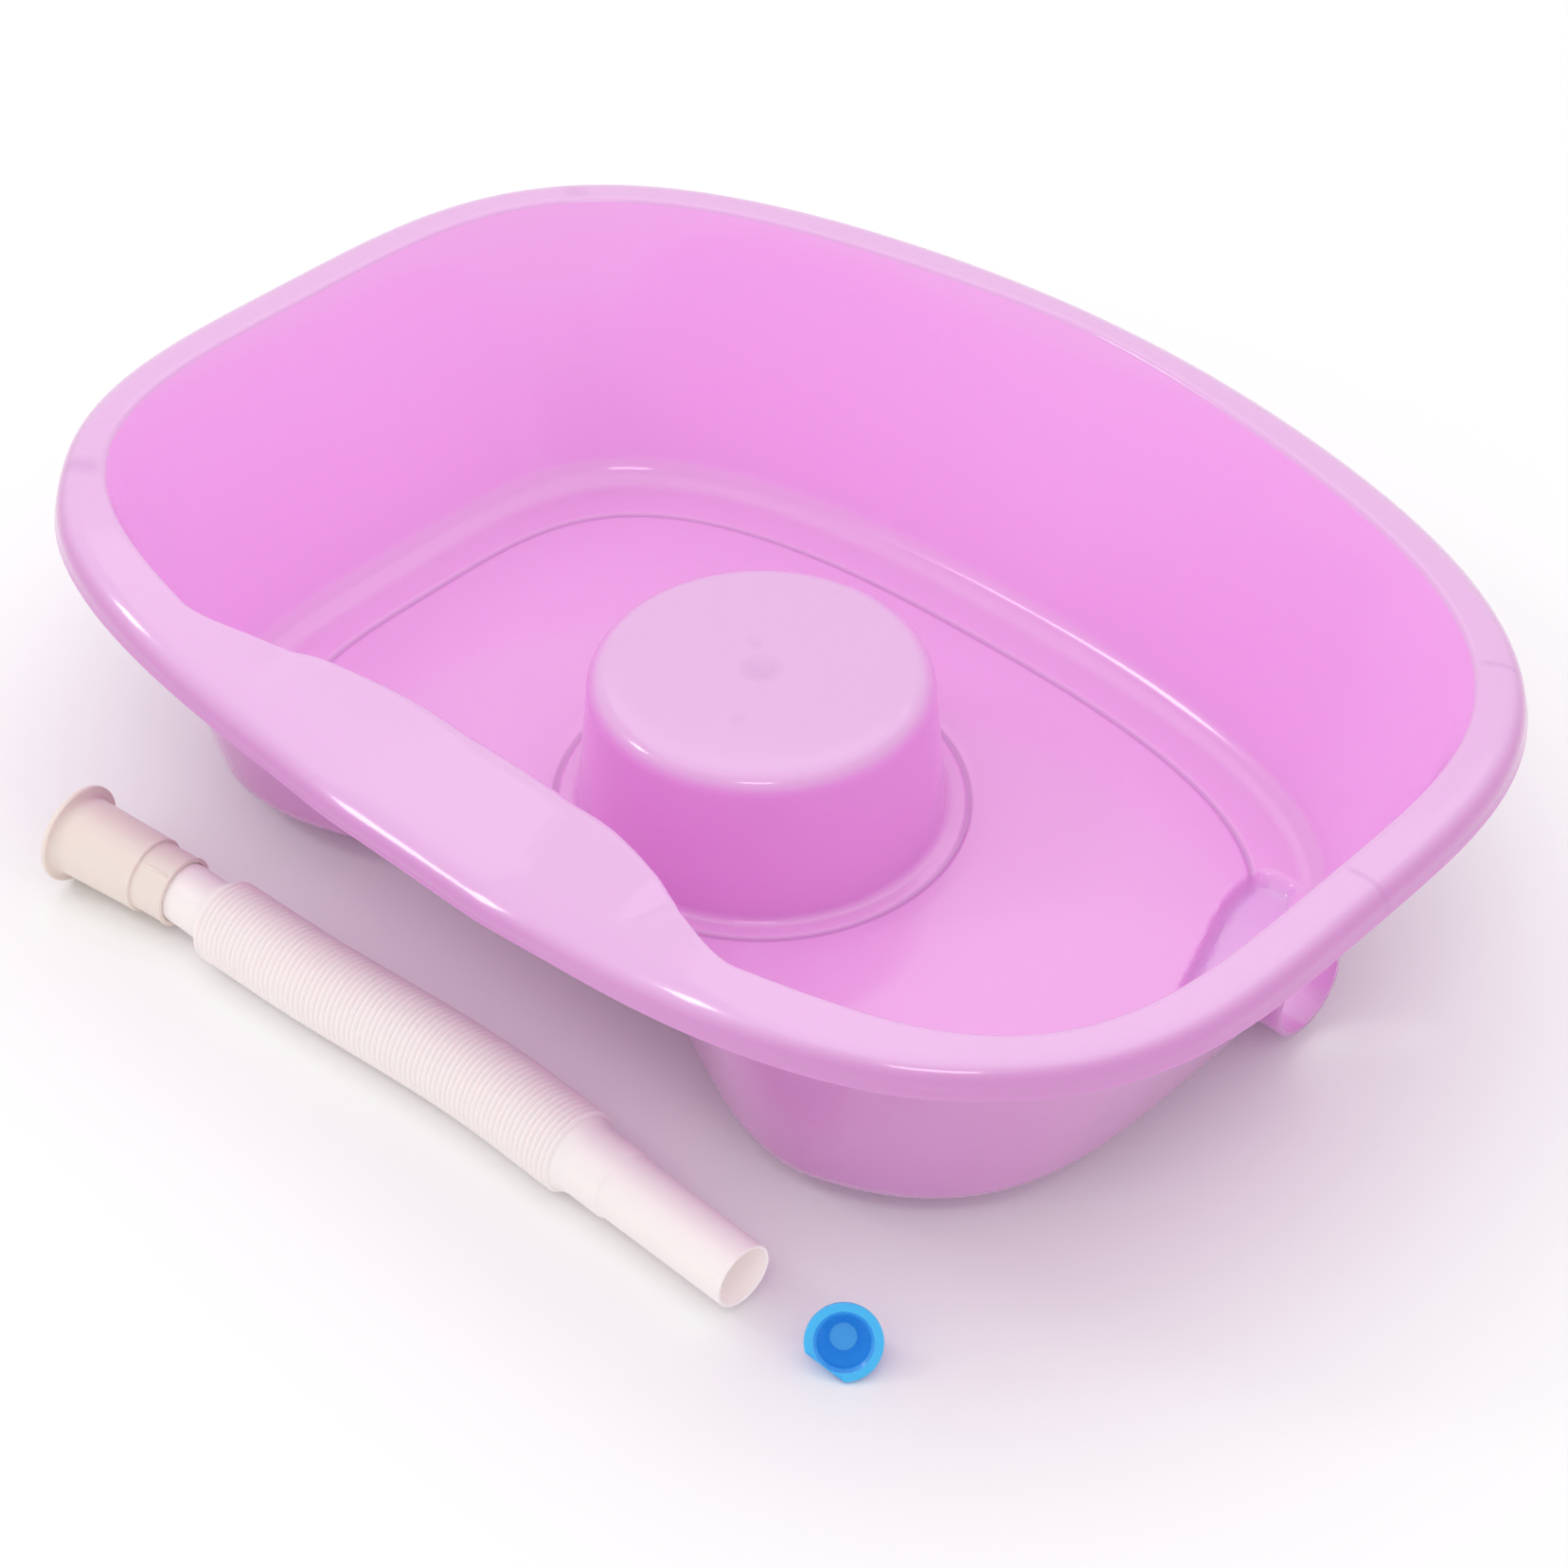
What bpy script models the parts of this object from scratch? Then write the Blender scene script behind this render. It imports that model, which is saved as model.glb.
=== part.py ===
"""Portable shampoo basin: a one-piece bowl with a neck rest, a head rest and a drain spigot,
with its stretching drain hose, the hose's push-on coupling and the hose's stopper lying beside it.

Lengths are in metres, angles in degrees. X runs along the bowl, towards its drain. -Y is the neck
rest's side. Z is up from the ground.
"""

import math
from collections import namedtuple

import bmesh
import bpy
from mathutils import Vector

Outline = namedtuple("Outline", "half_length back front side_power back_power front_power")
Corner = namedtuple("Corner", "radius height fillet steps")

# Clearance between touching pieces, how far a cutter runs past what it cuts, and the distance
# within which points are welded into one
GAP = 0.0003
OVERRUN = 0.004
WELD_DISTANCE = 0.00001

# Bowl
RIM_HEIGHT = 0.129
BOWL_WALL = 0.0024
HALF_LENGTH = 0.2772
REST_TO_BACK = 0.217
REST_TO_FRONT = 0.2005
REST_Y = -0.013
FLOOR_HEIGHT = 0.011
SIDE_LEAN = 0.0405
BACK_LEAN = 0.0425
FRONT_LEAN = 0.0165
WALL_FILLET = 0.016

# Rim and its skirt
RIM_WIDTH = 0.0198
RIM_BACK_WIDTH = 0.016
RIM_FRONT_WIDTH = 0.035
RIM_INNER_FILLET = 0.003
RIM_OUTER_FILLET = 0.009
SKIRT_DEPTH = 0.0108
SKIRT_FLARE = 0.0009
RIM_INNER_STEPS = 2
RIM_OUTER_STEPS = 3

# Squareness of the plan curves: 2 is an ellipse, and more is squarer
RIM_SIDE_POWER_SHARE = 3.44
RIM_BACK_POWER_SHARE = 2.12
RIM_FRONT_POWER_SHARE = 2.95
BOWL_SIDE_POWER_SHARE = 3.8
BOWL_BACK_POWER_SHARE = 1.9
BOWL_FRONT_POWER_SHARE = 3.73
FLOOR_SIDE_POWER_SHARE = 3.7
FLOOR_BACK_POWER_SHARE = 2.7
FLOOR_FRONT_POWER_SHARE = 3.65

# Neck rest: a saddle in the front rim, whose inner edge reaches in over the bowl
NECK_DIP = 0.0224
NECK_REACH = 0.0422
NECK_SET_BACK = 0.0175
NECK_WALL_SET_BACK = 0.042
NECK_INNER_FILLET = 0.008
NECK_OUTER_FILLET = 0.020
DIP_FROM_DEG = 10
DIP_TO_DEG = 51
LOBE_FROM_DEG = 19
LOBE_TO_DEG = 47
SET_BACK_FROM_DEG = 16
SET_BACK_TO_DEG = 54
WALL_FROM_DEG = 30
WALL_TO_DEG = 48

# Head rest
REST_HEIGHT = 0.065
REST_TOP_RADIUS = 0.0665
REST_FOOT_RADIUS = 0.0725
REST_EDGE_FILLET = 0.009
REST_FOOT_FILLET = 0.005

# Floor grooves, with a foot rib under each
GROOVE_WIDTH = 0.003
GROOVE_DEPTH = 0.001
REST_GROOVE_MARGIN = 0.009
LEDGE_WIDTH = 0.025
NECK_LEDGE_WIDTH = 0.014
FOOT_THICKNESS = 0.0022

# Stiffening ribs under the rim, by their angle round the head rest. Each has a mirrored one
RIM_RIB_THICKNESS = 0.0016
RIM_RIB_DEPTH = 0.010
RIM_RIB_ANGLES_DEG = (-30, 2, 29, 57)

# Sump, whose far side follows the bowl's right-hand end, and the drain spigot beyond it
SPIGOT_RADIUS = 0.0187
SPIGOT_WALL = 0.002
SPIGOT_Y = 0.0355
SPIGOT_REACH = 0.0019
SPIGOT_ROOT_LENGTH = 0.0136
SPIGOT_SIDES = 32
SUMP_DEPTH = 0.0055
SUMP_DRAFT = 0.005
SUMP_WALL_MARGIN = 0.0122
SUMP_LENGTH = 0.037
SUMP_FRONT_LENGTH = 0.0125
SUMP_FRONT_Y = -0.003
SUMP_BEND_Y = 0.066
SUMP_BACK_Y = 0.090
SUMP_BEND_RADIUS = 0.060
SUMP_CORNER_RADIUS = 0.011
SUMP_END_RADIUS = 0.007
SUMP_CORNER_STEPS = 5
SUMP_WALL_STEPS = 4

# Hose, from its inlet cuff to its spout
HOSE_WALL = 0.0012
CUFF_RADIUS = 0.0121
NECK_LENGTH = 0.0154
SHOULDER_LENGTH = 0.006
BELLOWS_RADIUS = 0.0166
RIB_DEPTH = 0.0016
RIB_COUNT = 72
OUTLET_CUFF_RADIUS = 0.0136
OUTLET_CUFF_LENGTH = 0.015
SPOUT_STEP_LENGTH = 0.002
SPOUT_ROOT_RADIUS = 0.0128
SPOUT_TIP_RADIUS = 0.0123
SPOUT_LENGTH = 0.058
HOSE_SIDES = 24
CUFF_RESOLUTION = 4
BELLOWS_RESOLUTION = 2
NECK_STEPS = 4
BEND_STEPS = 12

# The hose's axis on the ground: the middle of the coupling's face, the end of the spout and the
# directions there, counted from +X
HOSE_START = (-0.1716, -0.2163)
COUPLING_TURN_DEG = 8.6
HOSE_END = (0.169, -0.2006)
BELLOWS_TURN_DEG = 2.4
SPOUT_TURN_DEG = -1.2
BELLOWS_START = (-0.0945, -0.2070)

# Coupling
COUPLING_FLANGE_RADIUS = 0.0200
COUPLING_FLANGE_THICKNESS = 0.0025
COUPLING_FLANGE_FILLET = 0.0012
COUPLING_SLEEVE_LENGTH = 0.0378
COUPLING_SLEEVE_ROOT_RADIUS = 0.0160
COUPLING_SLEEVE_TIP_RADIUS = 0.0153
COUPLING_WALL = 0.0018
COUPLING_COLLAR_LENGTH = 0.0151
COUPLING_SOCKET_LENGTH = 0.012
COUPLING_KEY_WIDTH = 0.0012
COUPLING_KEY_HEIGHT = 0.0004
COUPLING_KEY_TURN_DEG = 62
COUPLING_SIDES = 32

# Stopper
STOPPER_FLANGE_RADIUS = 0.01345
STOPPER_FLANGE_THICKNESS = 0.0018
STOPPER_FLAT_DISTANCE = 0.0106
STOPPER_CUP_RADIUS = 0.0104
STOPPER_CUP_STRAIGHT = 0.0036
STOPPER_TIP_RADIUS = 0.0053
STOPPER_DEPTH = 0.0119
STOPPER_WALL = 0.0013
STOPPER_X = 0.2100
STOPPER_Y = -0.1955
STOPPER_TURN_DEG = 43
STOPPER_FLAT_TURN_DEG = 233
STOPPER_SIDES = 36

# Directions from the head rest, and the longest fillet as a share of its shorter side
FILLET_SIDE_SHARE = 0.49
FRONT_DEG = -90
BACK_DEG = 90
LOBE_DEG = -36
STATION_RUNS = ((FRONT_DEG, LOBE_DEG, 15), (LOBE_DEG, BACK_DEG, 23))

# How often a place along the right-hand end is refined
EDGE_PASSES = 8


def clear_scene():
    for old in list(bpy.data.objects):
        bpy.data.objects.remove(old, do_unlink=True)


def collection(name):
    made = bpy.data.collections.new(name)
    bpy.context.scene.collection.children.link(made)
    return made


def principled(name, color, roughness, transmission=0.0):
    material = bpy.data.materials.new(name)
    material.use_nodes = True
    shader = material.node_tree.nodes["Principled BSDF"]
    shader.inputs["Base Color"].default_value = (*color, 1.0)
    shader.inputs["Roughness"].default_value = roughness
    shader.inputs["Metallic"].default_value = 0.0
    shader.inputs["Transmission Weight"].default_value = transmission
    return material


def object_from(bm, name, home, material=None):
    if not any(edge.is_boundary for edge in bm.edges):
        bmesh.ops.recalc_face_normals(bm, faces=bm.faces)
    mesh = bpy.data.meshes.new(name)
    bm.to_mesh(mesh)
    bm.free()
    made = bpy.data.objects.new(name, mesh)
    home.objects.link(made)
    if material:
        mesh.materials.append(material)
    return made


def as_helper(obj):
    obj.hide_render = True
    obj.display_type = "WIRE"
    return obj


def boolean(target, tool, operation):
    modifier = target.modifiers.new(tool.name, "BOOLEAN")
    modifier.operation = operation
    modifier.object = tool
    return modifier


def ease(away, inner, outer):
    """1 up to the inner angle and 0 past the outer one, smooth between them."""
    share = min(1.0, max(0.0, (outer - away) / (outer - inner)))
    return share * share * (3 - 2 * share)


def reach(outline, angle):
    """Distance from the head rest's axis to an outline, in one direction."""
    across, along = math.cos(angle), math.sin(angle)
    depth = outline.back if along > 0 else outline.front
    power = outline.front_power
    if along > 0:
        power = outline.side_power + (outline.back_power - outline.side_power) * along
    if along < 0:
        power = outline.side_power + (outline.front_power - outline.side_power) * min(1, -2 * along)
    total = (abs(across) / outline.half_length) ** power + (abs(along) / depth) ** power
    return total ** (-1 / power)


RIM_OUTSIDE = Outline(
    HALF_LENGTH,
    REST_TO_BACK,
    REST_TO_FRONT,
    RIM_SIDE_POWER_SHARE,
    RIM_BACK_POWER_SHARE,
    RIM_FRONT_POWER_SHARE,
)
RIM_INSIDE = Outline(
    HALF_LENGTH - RIM_WIDTH,
    REST_TO_BACK - RIM_BACK_WIDTH,
    REST_TO_FRONT - RIM_FRONT_WIDTH,
    BOWL_SIDE_POWER_SHARE,
    BOWL_BACK_POWER_SHARE,
    BOWL_FRONT_POWER_SHARE,
)
FLOOR_EDGE = Outline(
    RIM_INSIDE.half_length - SIDE_LEAN,
    RIM_INSIDE.back - BACK_LEAN,
    RIM_INSIDE.front - FRONT_LEAN,
    FLOOR_SIDE_POWER_SHARE,
    FLOOR_BACK_POWER_SHARE,
    FLOOR_FRONT_POWER_SHARE,
)
LEDGE_EDGE = Outline(
    FLOOR_EDGE.half_length - LEDGE_WIDTH,
    FLOOR_EDGE.back - LEDGE_WIDTH,
    FLOOR_EDGE.front - LEDGE_WIDTH,
    FLOOR_SIDE_POWER_SHARE,
    FLOOR_BACK_POWER_SHARE,
    FLOOR_FRONT_POWER_SHARE,
)
REST_GROOVE_RADIUS = REST_FOOT_RADIUS + REST_GROOVE_MARGIN
SUMP_FAR_X = FLOOR_EDGE.half_length - SUMP_WALL_MARGIN
SUMP_NEAR_X = SUMP_FAR_X - SUMP_LENGTH
SUMP_FRONT_X = SUMP_FAR_X - SUMP_FRONT_LENGTH
SPIGOT_ROOT_X = SUMP_FAR_X - SPIGOT_ROOT_LENGTH
SPIGOT_HEIGHT = FLOOR_HEIGHT - SUMP_DEPTH + SPIGOT_RADIUS - SPIGOT_WALL


def from_front(angle):
    """Degrees between a direction and the middle of the neck rest."""
    return abs((math.degrees(angle) - FRONT_DEG + 180) % 360 - 180)


def floor_reach(angle):
    return reach(FLOOR_EDGE, angle) - NECK_WALL_SET_BACK * ease(from_front(angle), WALL_FROM_DEG, WALL_TO_DEG)


def ledge_reach(angle):
    """Distance to the outer groove: parallel to the wall, and closer to it behind the neck rest."""
    neck = ease(from_front(angle), WALL_FROM_DEG, WALL_TO_DEG)
    return reach(LEDGE_EDGE, angle) + (LEDGE_WIDTH - NECK_LEDGE_WIDTH - NECK_WALL_SET_BACK) * neck


def groove(radius):
    half = GROOVE_WIDTH / 2
    return [
        Corner(radius - half, FLOOR_HEIGHT, 0, 0),
        Corner(radius, FLOOR_HEIGHT - GROOVE_DEPTH, 0, 0),
        Corner(radius + half, FLOOR_HEIGHT, 0, 0),
    ]


def bowl_corners(angle):
    """The bowl's upper surface in one direction from the head rest's axis, out to the skirt's edge."""
    away = from_front(angle)
    dip = ease(away, DIP_FROM_DEG, DIP_TO_DEG)
    lobe = ease(away, LOBE_FROM_DEG, LOBE_TO_DEG)
    set_back = ease(away, SET_BACK_FROM_DEG, SET_BACK_TO_DEG)
    wall = ease(away, WALL_FROM_DEG, WALL_TO_DEG)
    top = RIM_HEIGHT - NECK_DIP * dip
    inside = reach(RIM_INSIDE, angle) - NECK_REACH * lobe
    outside = reach(RIM_OUTSIDE, angle) - NECK_SET_BACK * set_back
    inner_fillet = RIM_INNER_FILLET + (NECK_INNER_FILLET - RIM_INNER_FILLET) * lobe
    outer_fillet = RIM_OUTER_FILLET + (NECK_OUTER_FILLET - RIM_OUTER_FILLET) * dip
    wall_fillet = WALL_FILLET + (NECK_LEDGE_WIDTH - WALL_FILLET) * wall
    rest_top = FLOOR_HEIGHT + REST_HEIGHT
    return [
        Corner(0, rest_top, 0, 0),
        Corner(REST_TOP_RADIUS, rest_top, REST_EDGE_FILLET, 3),
        Corner(REST_FOOT_RADIUS, FLOOR_HEIGHT, REST_FOOT_FILLET, 2),
        *groove(REST_GROOVE_RADIUS),
        *groove(ledge_reach(angle)),
        Corner(floor_reach(angle), FLOOR_HEIGHT, wall_fillet, 3),
        Corner(inside, top, inner_fillet, RIM_INNER_STEPS),
        Corner(outside, top, outer_fillet, RIM_OUTER_STEPS),
        Corner(outside + SKIRT_FLARE, top - SKIRT_DEPTH, 0, 0),
    ]


def fillet_points(before, corner, after, radius, steps):
    """A corner of a profile rounded by an arc, which stays within its two sides."""
    towards, onwards = (before - corner).normalized(), (after - corner).normalized()
    half_angle = towards.angle(onwards) / 2
    side = min((before - corner).length, (after - corner).length) * FILLET_SIDE_SHARE
    run = min(radius / math.tan(half_angle), side)
    fitted = run * math.tan(half_angle)
    middle = corner + (towards + onwards).normalized() * (fitted / math.sin(half_angle))
    start, end = corner + towards * run - middle, corner + onwards * run - middle
    turns = [start.slerp(end, step / steps).normalized() for step in range(steps + 1)]
    return [middle + turn * fitted for turn in turns]


def rounded(corners):
    points = [Vector((corners[0].radius, corners[0].height))]
    for before, corner, after in zip(corners, corners[1:], corners[2:]):
        here = Vector((corner.radius, corner.height))
        if corner.fillet:
            sides = [Vector((other.radius, other.height)) for other in (before, after)]
            points += fillet_points(sides[0], here, sides[1], corner.fillet, corner.steps)
        else:
            points.append(here)
    points.append(Vector((corners[-1].radius, corners[-1].height)))
    return points


def station_angles():
    """Directions from the front round to the back, closer where the neck rest's sides turn."""
    angles = [FRONT_DEG]
    for start, end, count in STATION_RUNS:
        angles += [start + (end - start) * step / count for step in range(1, count + 1)]
    return [math.radians(angle) for angle in angles]


def around_rest(radius, angle, height):
    return Vector((radius * math.cos(angle), REST_Y + radius * math.sin(angle), height))


def on_mirror_plane(point):
    return Vector((0, point.y, point.z))


def bowl_surface(home, material):
    """Half of the bowl's upper surface: one profile for each station, joined into a sheet."""
    bm = bmesh.new()
    pole = bm.verts.new((0, REST_Y, FLOOR_HEIGHT + REST_HEIGHT))
    rows = []
    angles = station_angles()
    for angle in angles:
        points = [around_rest(p.x, angle, p.y) for p in rounded(bowl_corners(angle))[1:]]
        if angle in (angles[0], angles[-1]):
            points = [on_mirror_plane(point) for point in points]
        rows.append([bm.verts.new(point) for point in points])
    for near, far in zip(rows, rows[1:]):
        bm.faces.new((pole, near[0], far[0]))
        for a, b, c, d in zip(near, near[1:], far[1:], far):
            bm.faces.new((a, b, c, d))
    for face in bm.faces:
        face.smooth = True
    bowl = object_from(bm, "basin_shell", home, material)
    mirror = bowl.modifiers.new("Mirror", "MIRROR")
    mirror.merge_threshold = WELD_DISTANCE
    wall = bowl.modifiers.new("Wall", "SOLIDIFY")
    wall.thickness = BOWL_WALL
    wall.offset = -1
    return bowl


def plate(name, loops, thickness, home):
    """A flat outline, with any holes, made as thick as asked round its own plane."""
    curve = bpy.data.curves.new(name, "CURVE")
    curve.dimensions = "2D"
    curve.fill_mode = "BOTH"
    curve.extrude = thickness / 2
    for loop in loops:
        spline = curve.splines.new("POLY")
        spline.points.add(len(loop) - 1)
        for point, (x, y) in zip(spline.points, loop):
            point.co = (x, y, 0, 1)
        spline.use_cyclic_u = True
    drawn = bpy.data.objects.new(name, curve)
    home.objects.link(drawn)
    bpy.context.view_layer.update()
    graph = bpy.context.evaluated_depsgraph_get()
    mesh = bpy.data.meshes.new_from_object(drawn.evaluated_get(graph))
    bpy.data.objects.remove(drawn, do_unlink=True)
    bm = bmesh.new()
    bm.from_mesh(mesh)
    bmesh.ops.remove_doubles(bm, verts=bm.verts, dist=WELD_DISTANCE)
    return object_from(bm, name, home)


def ring_loops(radius_at, thickness, steps):
    """The two edges of a band of even thickness round the head rest."""
    loops = []
    for side in (0.5, -0.5):
        loop = []
        for step in range(steps):
            angle = 2 * math.pi * step / steps
            point = around_rest(radius_at(angle) + side * thickness, angle, 0)
            loop.append((point.x, point.y))
        loops.append(loop)
    return loops


def foot_rib(name, radius_at, steps, home):
    """A rib under a groove, from the ground up into the floor's thickness."""
    height = FLOOR_HEIGHT - GROOVE_DEPTH - BOWL_WALL / 2
    rib = plate(name, ring_loops(radius_at, FOOT_THICKNESS, steps), height, home)
    rib.location.z = height / 2
    return as_helper(rib)


def nearest_station(degrees):
    return min(station_angles(), key=lambda angle: abs(angle - math.radians(degrees)))


def moved_right(before, here, after, margin):
    """A point of an outline, moved by a margin to the right of the way along it."""
    way = (after - before).normalized()
    return here + Vector((way.y, -way.x)) * margin


def down_to(point, way, height):
    """The place at a height on a straight line through a point."""
    return point + way * ((height - point.y) / way.y)


def rim_rib(name, angle, home):
    """A stiffening plate under the rim, whose edges run within the wall's, rim's and skirt's thickness."""
    corners = bowl_corners(angle)
    points = rounded(corners)
    rim = points[-2 - RIM_INNER_STEPS - 1 - RIM_OUTER_STEPS - 1 :]
    middle = [moved_right(*three, BOWL_WALL / 2) for three in zip(rim, rim[1:], rim[2:])]
    bottom = corners[-2].height - RIM_RIB_DEPTH
    wall_foot = down_to(middle[0], rim[1] - rim[0], bottom)
    skirt_foot = down_to(middle[-1], rim[-1] - rim[-2], bottom)
    shape = [(point.x, point.y) for point in (wall_foot, *middle, skirt_foot)]
    rib = plate(name, [shape], RIM_RIB_THICKNESS, home)
    rib.rotation_euler = (math.pi / 2, 0, angle)
    rib.location.y = REST_Y
    return as_helper(rib)


def wall_radius(angle, height):
    """Distance to the bowl's inner wall at a height, along one direction."""
    points = rounded(bowl_corners(angle))
    best = points[0].x
    for low, high in zip(points, points[1:]):
        if low.x > REST_GROOVE_RADIUS and low.y <= height < high.y:
            best = low.x + (high.x - low.x) * (height - low.y) / (high.y - low.y)
    return best


def wall_x(y, height):
    """Where the middle of the right-hand wall's thickness is, at a height and a depth."""
    x = FLOOR_EDGE.half_length
    for _ in range(EDGE_PASSES):
        angle = math.atan2(y - REST_Y, x)
        x = (wall_radius(angle, height) + BOWL_WALL / 2) * math.cos(angle)
    return x


def floor_x(y):
    """Where the floor meets the right-hand end's wall, at a depth."""
    x = FLOOR_EDGE.half_length
    for _ in range(EDGE_PASSES):
        angle = math.atan2(y - REST_Y, x)
        x = floor_reach(angle) * math.cos(angle)
    return x


def sump_outline():
    """The sump's edge in the floor, anticlockwise: along the wall, round the back and slanting in front."""
    shares = [step / SUMP_WALL_STEPS for step in range(SUMP_WALL_STEPS + 1)]
    depths = [SUMP_FRONT_Y + (SUMP_BACK_Y - SUMP_FRONT_Y) * share for share in shares]
    along_wall = [Vector((floor_x(y) - SUMP_WALL_MARGIN, y)) for y in depths]
    corners = [
        (along_wall[0], SUMP_END_RADIUS),
        *[(point, 0) for point in along_wall[1:-1]],
        (along_wall[-1], SUMP_END_RADIUS),
        (Vector((SUMP_NEAR_X, SUMP_BACK_Y)), SUMP_CORNER_RADIUS),
        (Vector((SUMP_NEAR_X, SUMP_BEND_Y)), SUMP_BEND_RADIUS),
        (Vector((SUMP_FRONT_X, SUMP_FRONT_Y)), SUMP_END_RADIUS),
    ]
    points = []
    for index, (corner, radius) in enumerate(corners):
        before, after = corners[index - 1][0], corners[(index + 1) % len(corners)][0]
        points += fillet_points(before, corner, after, radius, SUMP_CORNER_STEPS) if radius else [corner]
    return points


def grown(outline, margin):
    """An anticlockwise outline with each point moved outwards, or inwards by a margin below zero."""
    neighbours = zip(outline[-1:] + outline[:-1], outline, outline[1:] + outline[:1])
    return [moved_right(*three, margin) for three in neighbours]


def loft(name, sections, home):
    """A closed solid through outlines of as many points each, from the lowest to the highest."""
    bm = bmesh.new()
    rings = [[bm.verts.new((p.x, p.y, height)) for p in outline] for outline, height in sections]
    for low, high in zip(rings, rings[1:]):
        for a, b, c, d in zip(low, low[1:] + low[:1], high[1:] + high[:1], high):
            bm.faces.new((a, b, c, d))
    bm.faces.new(rings[0])
    bm.faces.new(rings[-1])
    return as_helper(object_from(bm, name, home))


def sump_block(home):
    """The sump's underside, from the middle of the floor's thickness down."""
    edge = grown(sump_outline(), BOWL_WALL)
    sections = [
        (grown(edge, -SUMP_DRAFT), FLOOR_HEIGHT - SUMP_DEPTH - BOWL_WALL),
        (edge, FLOOR_HEIGHT - BOWL_WALL),
        (edge, FLOOR_HEIGHT - BOWL_WALL / 2),
    ]
    return loft("sump_block", sections, home)


def sump_cutter(home):
    edge = sump_outline()
    sections = [
        (grown(edge, -SUMP_DRAFT), FLOOR_HEIGHT - SUMP_DEPTH),
        (edge, FLOOR_HEIGHT),
        (edge, FLOOR_HEIGHT + OVERRUN),
    ]
    return loft("sump_cutter", sections, home)


def cylinder_x(name, radius, start, end, y, z, home):
    """A cylinder along X between two places."""
    bm = bmesh.new()
    bmesh.ops.create_cone(
        bm,
        cap_ends=True,
        segments=SPIGOT_SIDES,
        radius1=radius,
        radius2=radius,
        depth=end - start,
    )
    made = object_from(bm, name, home)
    made.rotation_euler.y = math.pi / 2
    made.location = ((start + end) / 2, y, z)
    return as_helper(made)


def spigot_end_x():
    """The spigot ends a little way out of the leaning wall, counted at its top."""
    return wall_x(SPIGOT_Y, SPIGOT_HEIGHT + SPIGOT_RADIUS) + SPIGOT_REACH


def spigot_block(home):
    """The spigot's solid: its root lies in the wall's thickness, and under the floor in the sump."""
    end = spigot_end_x()
    bm = bmesh.new()
    rings = ([], [])
    for step in range(SPIGOT_SIDES):
        turn = 2 * math.pi * (step + 0.5) / SPIGOT_SIDES
        y = SPIGOT_Y + SPIGOT_RADIUS * math.cos(turn)
        z = SPIGOT_HEIGHT + SPIGOT_RADIUS * math.sin(turn)
        root = SPIGOT_ROOT_X if z < FLOOR_HEIGHT + BOWL_WALL / 2 else wall_x(y, z)
        rings[0].append(bm.verts.new((root, y, z)))
        rings[1].append(bm.verts.new((end, y, z)))
    for step in range(SPIGOT_SIDES):
        after = (step + 1) % SPIGOT_SIDES
        bm.faces.new((rings[0][step], rings[0][after], rings[1][after], rings[1][step]))
    bm.faces.new(rings[1])
    middle = bm.verts.new((wall_x(SPIGOT_Y, SPIGOT_HEIGHT), SPIGOT_Y, SPIGOT_HEIGHT))
    for step in range(SPIGOT_SIDES):
        bm.faces.new((rings[0][(step + 1) % SPIGOT_SIDES], rings[0][step], middle))
    return as_helper(object_from(bm, "spigot_block", home))


def make_bowl(parts, helpers):
    pink = principled("bowl_pink", (0.83, 0.42, 0.76), 0.28)
    bowl = bowl_surface(parts, pink)
    steps = 2 * len(station_angles())
    boolean(bowl, foot_rib("outer_foot", ledge_reach, steps, helpers), "UNION")
    boolean(bowl, foot_rib("rest_foot", lambda angle: REST_GROOVE_RADIUS, steps // 2, helpers), "UNION")
    rib_angles = [nearest_station(degrees) for degrees in RIM_RIB_ANGLES_DEG]
    rib_angles += [math.pi - angle for angle in rib_angles] + [math.radians(BACK_DEG)]
    for index, angle in enumerate(rib_angles):
        boolean(bowl, rim_rib(f"rim_rib_{index}", angle, helpers), "UNION")
    boolean(bowl, sump_block(helpers), "UNION")
    boolean(bowl, spigot_block(helpers), "UNION")
    boolean(bowl, sump_cutter(helpers), "DIFFERENCE")
    bore = SPIGOT_RADIUS - SPIGOT_WALL
    end = spigot_end_x() + OVERRUN
    cutter = cylinder_x("bore_cutter", bore, SPIGOT_ROOT_X, end, SPIGOT_Y, SPIGOT_HEIGHT, helpers)
    boolean(bowl, cutter, "DIFFERENCE")
    return bowl


def turned(name, profile, closed, sides, home, material=None):
    """A profile of radii and heights turned round Z. Its outer side runs down."""
    bm = bmesh.new()
    points = [bm.verts.new((radius, 0, height)) for radius, height in profile]
    for near, far in zip(points, points[1:]):
        bm.edges.new((near, far))
    if closed:
        bm.edges.new((points[-1], points[0]))
    mesh = bpy.data.meshes.new(name)
    bm.to_mesh(mesh)
    bm.free()
    made = bpy.data.objects.new(name, mesh)
    home.objects.link(made)
    if material:
        mesh.materials.append(material)
    screw = made.modifiers.new("Turned", "SCREW")
    screw.steps = sides
    screw.render_steps = sides
    screw.use_merge_vertices = True
    screw.merge_threshold = WELD_DISTANCE
    return made


def aim(obj, place, direction):
    """Stands an object on a place with its Z along a direction."""
    obj.location = place
    obj.rotation_euler = direction.to_track_quat("Z", "Y").to_euler()


def coupling_length():
    return COUPLING_FLANGE_THICKNESS + COUPLING_SLEEVE_LENGTH + COUPLING_COLLAR_LENGTH


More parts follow.
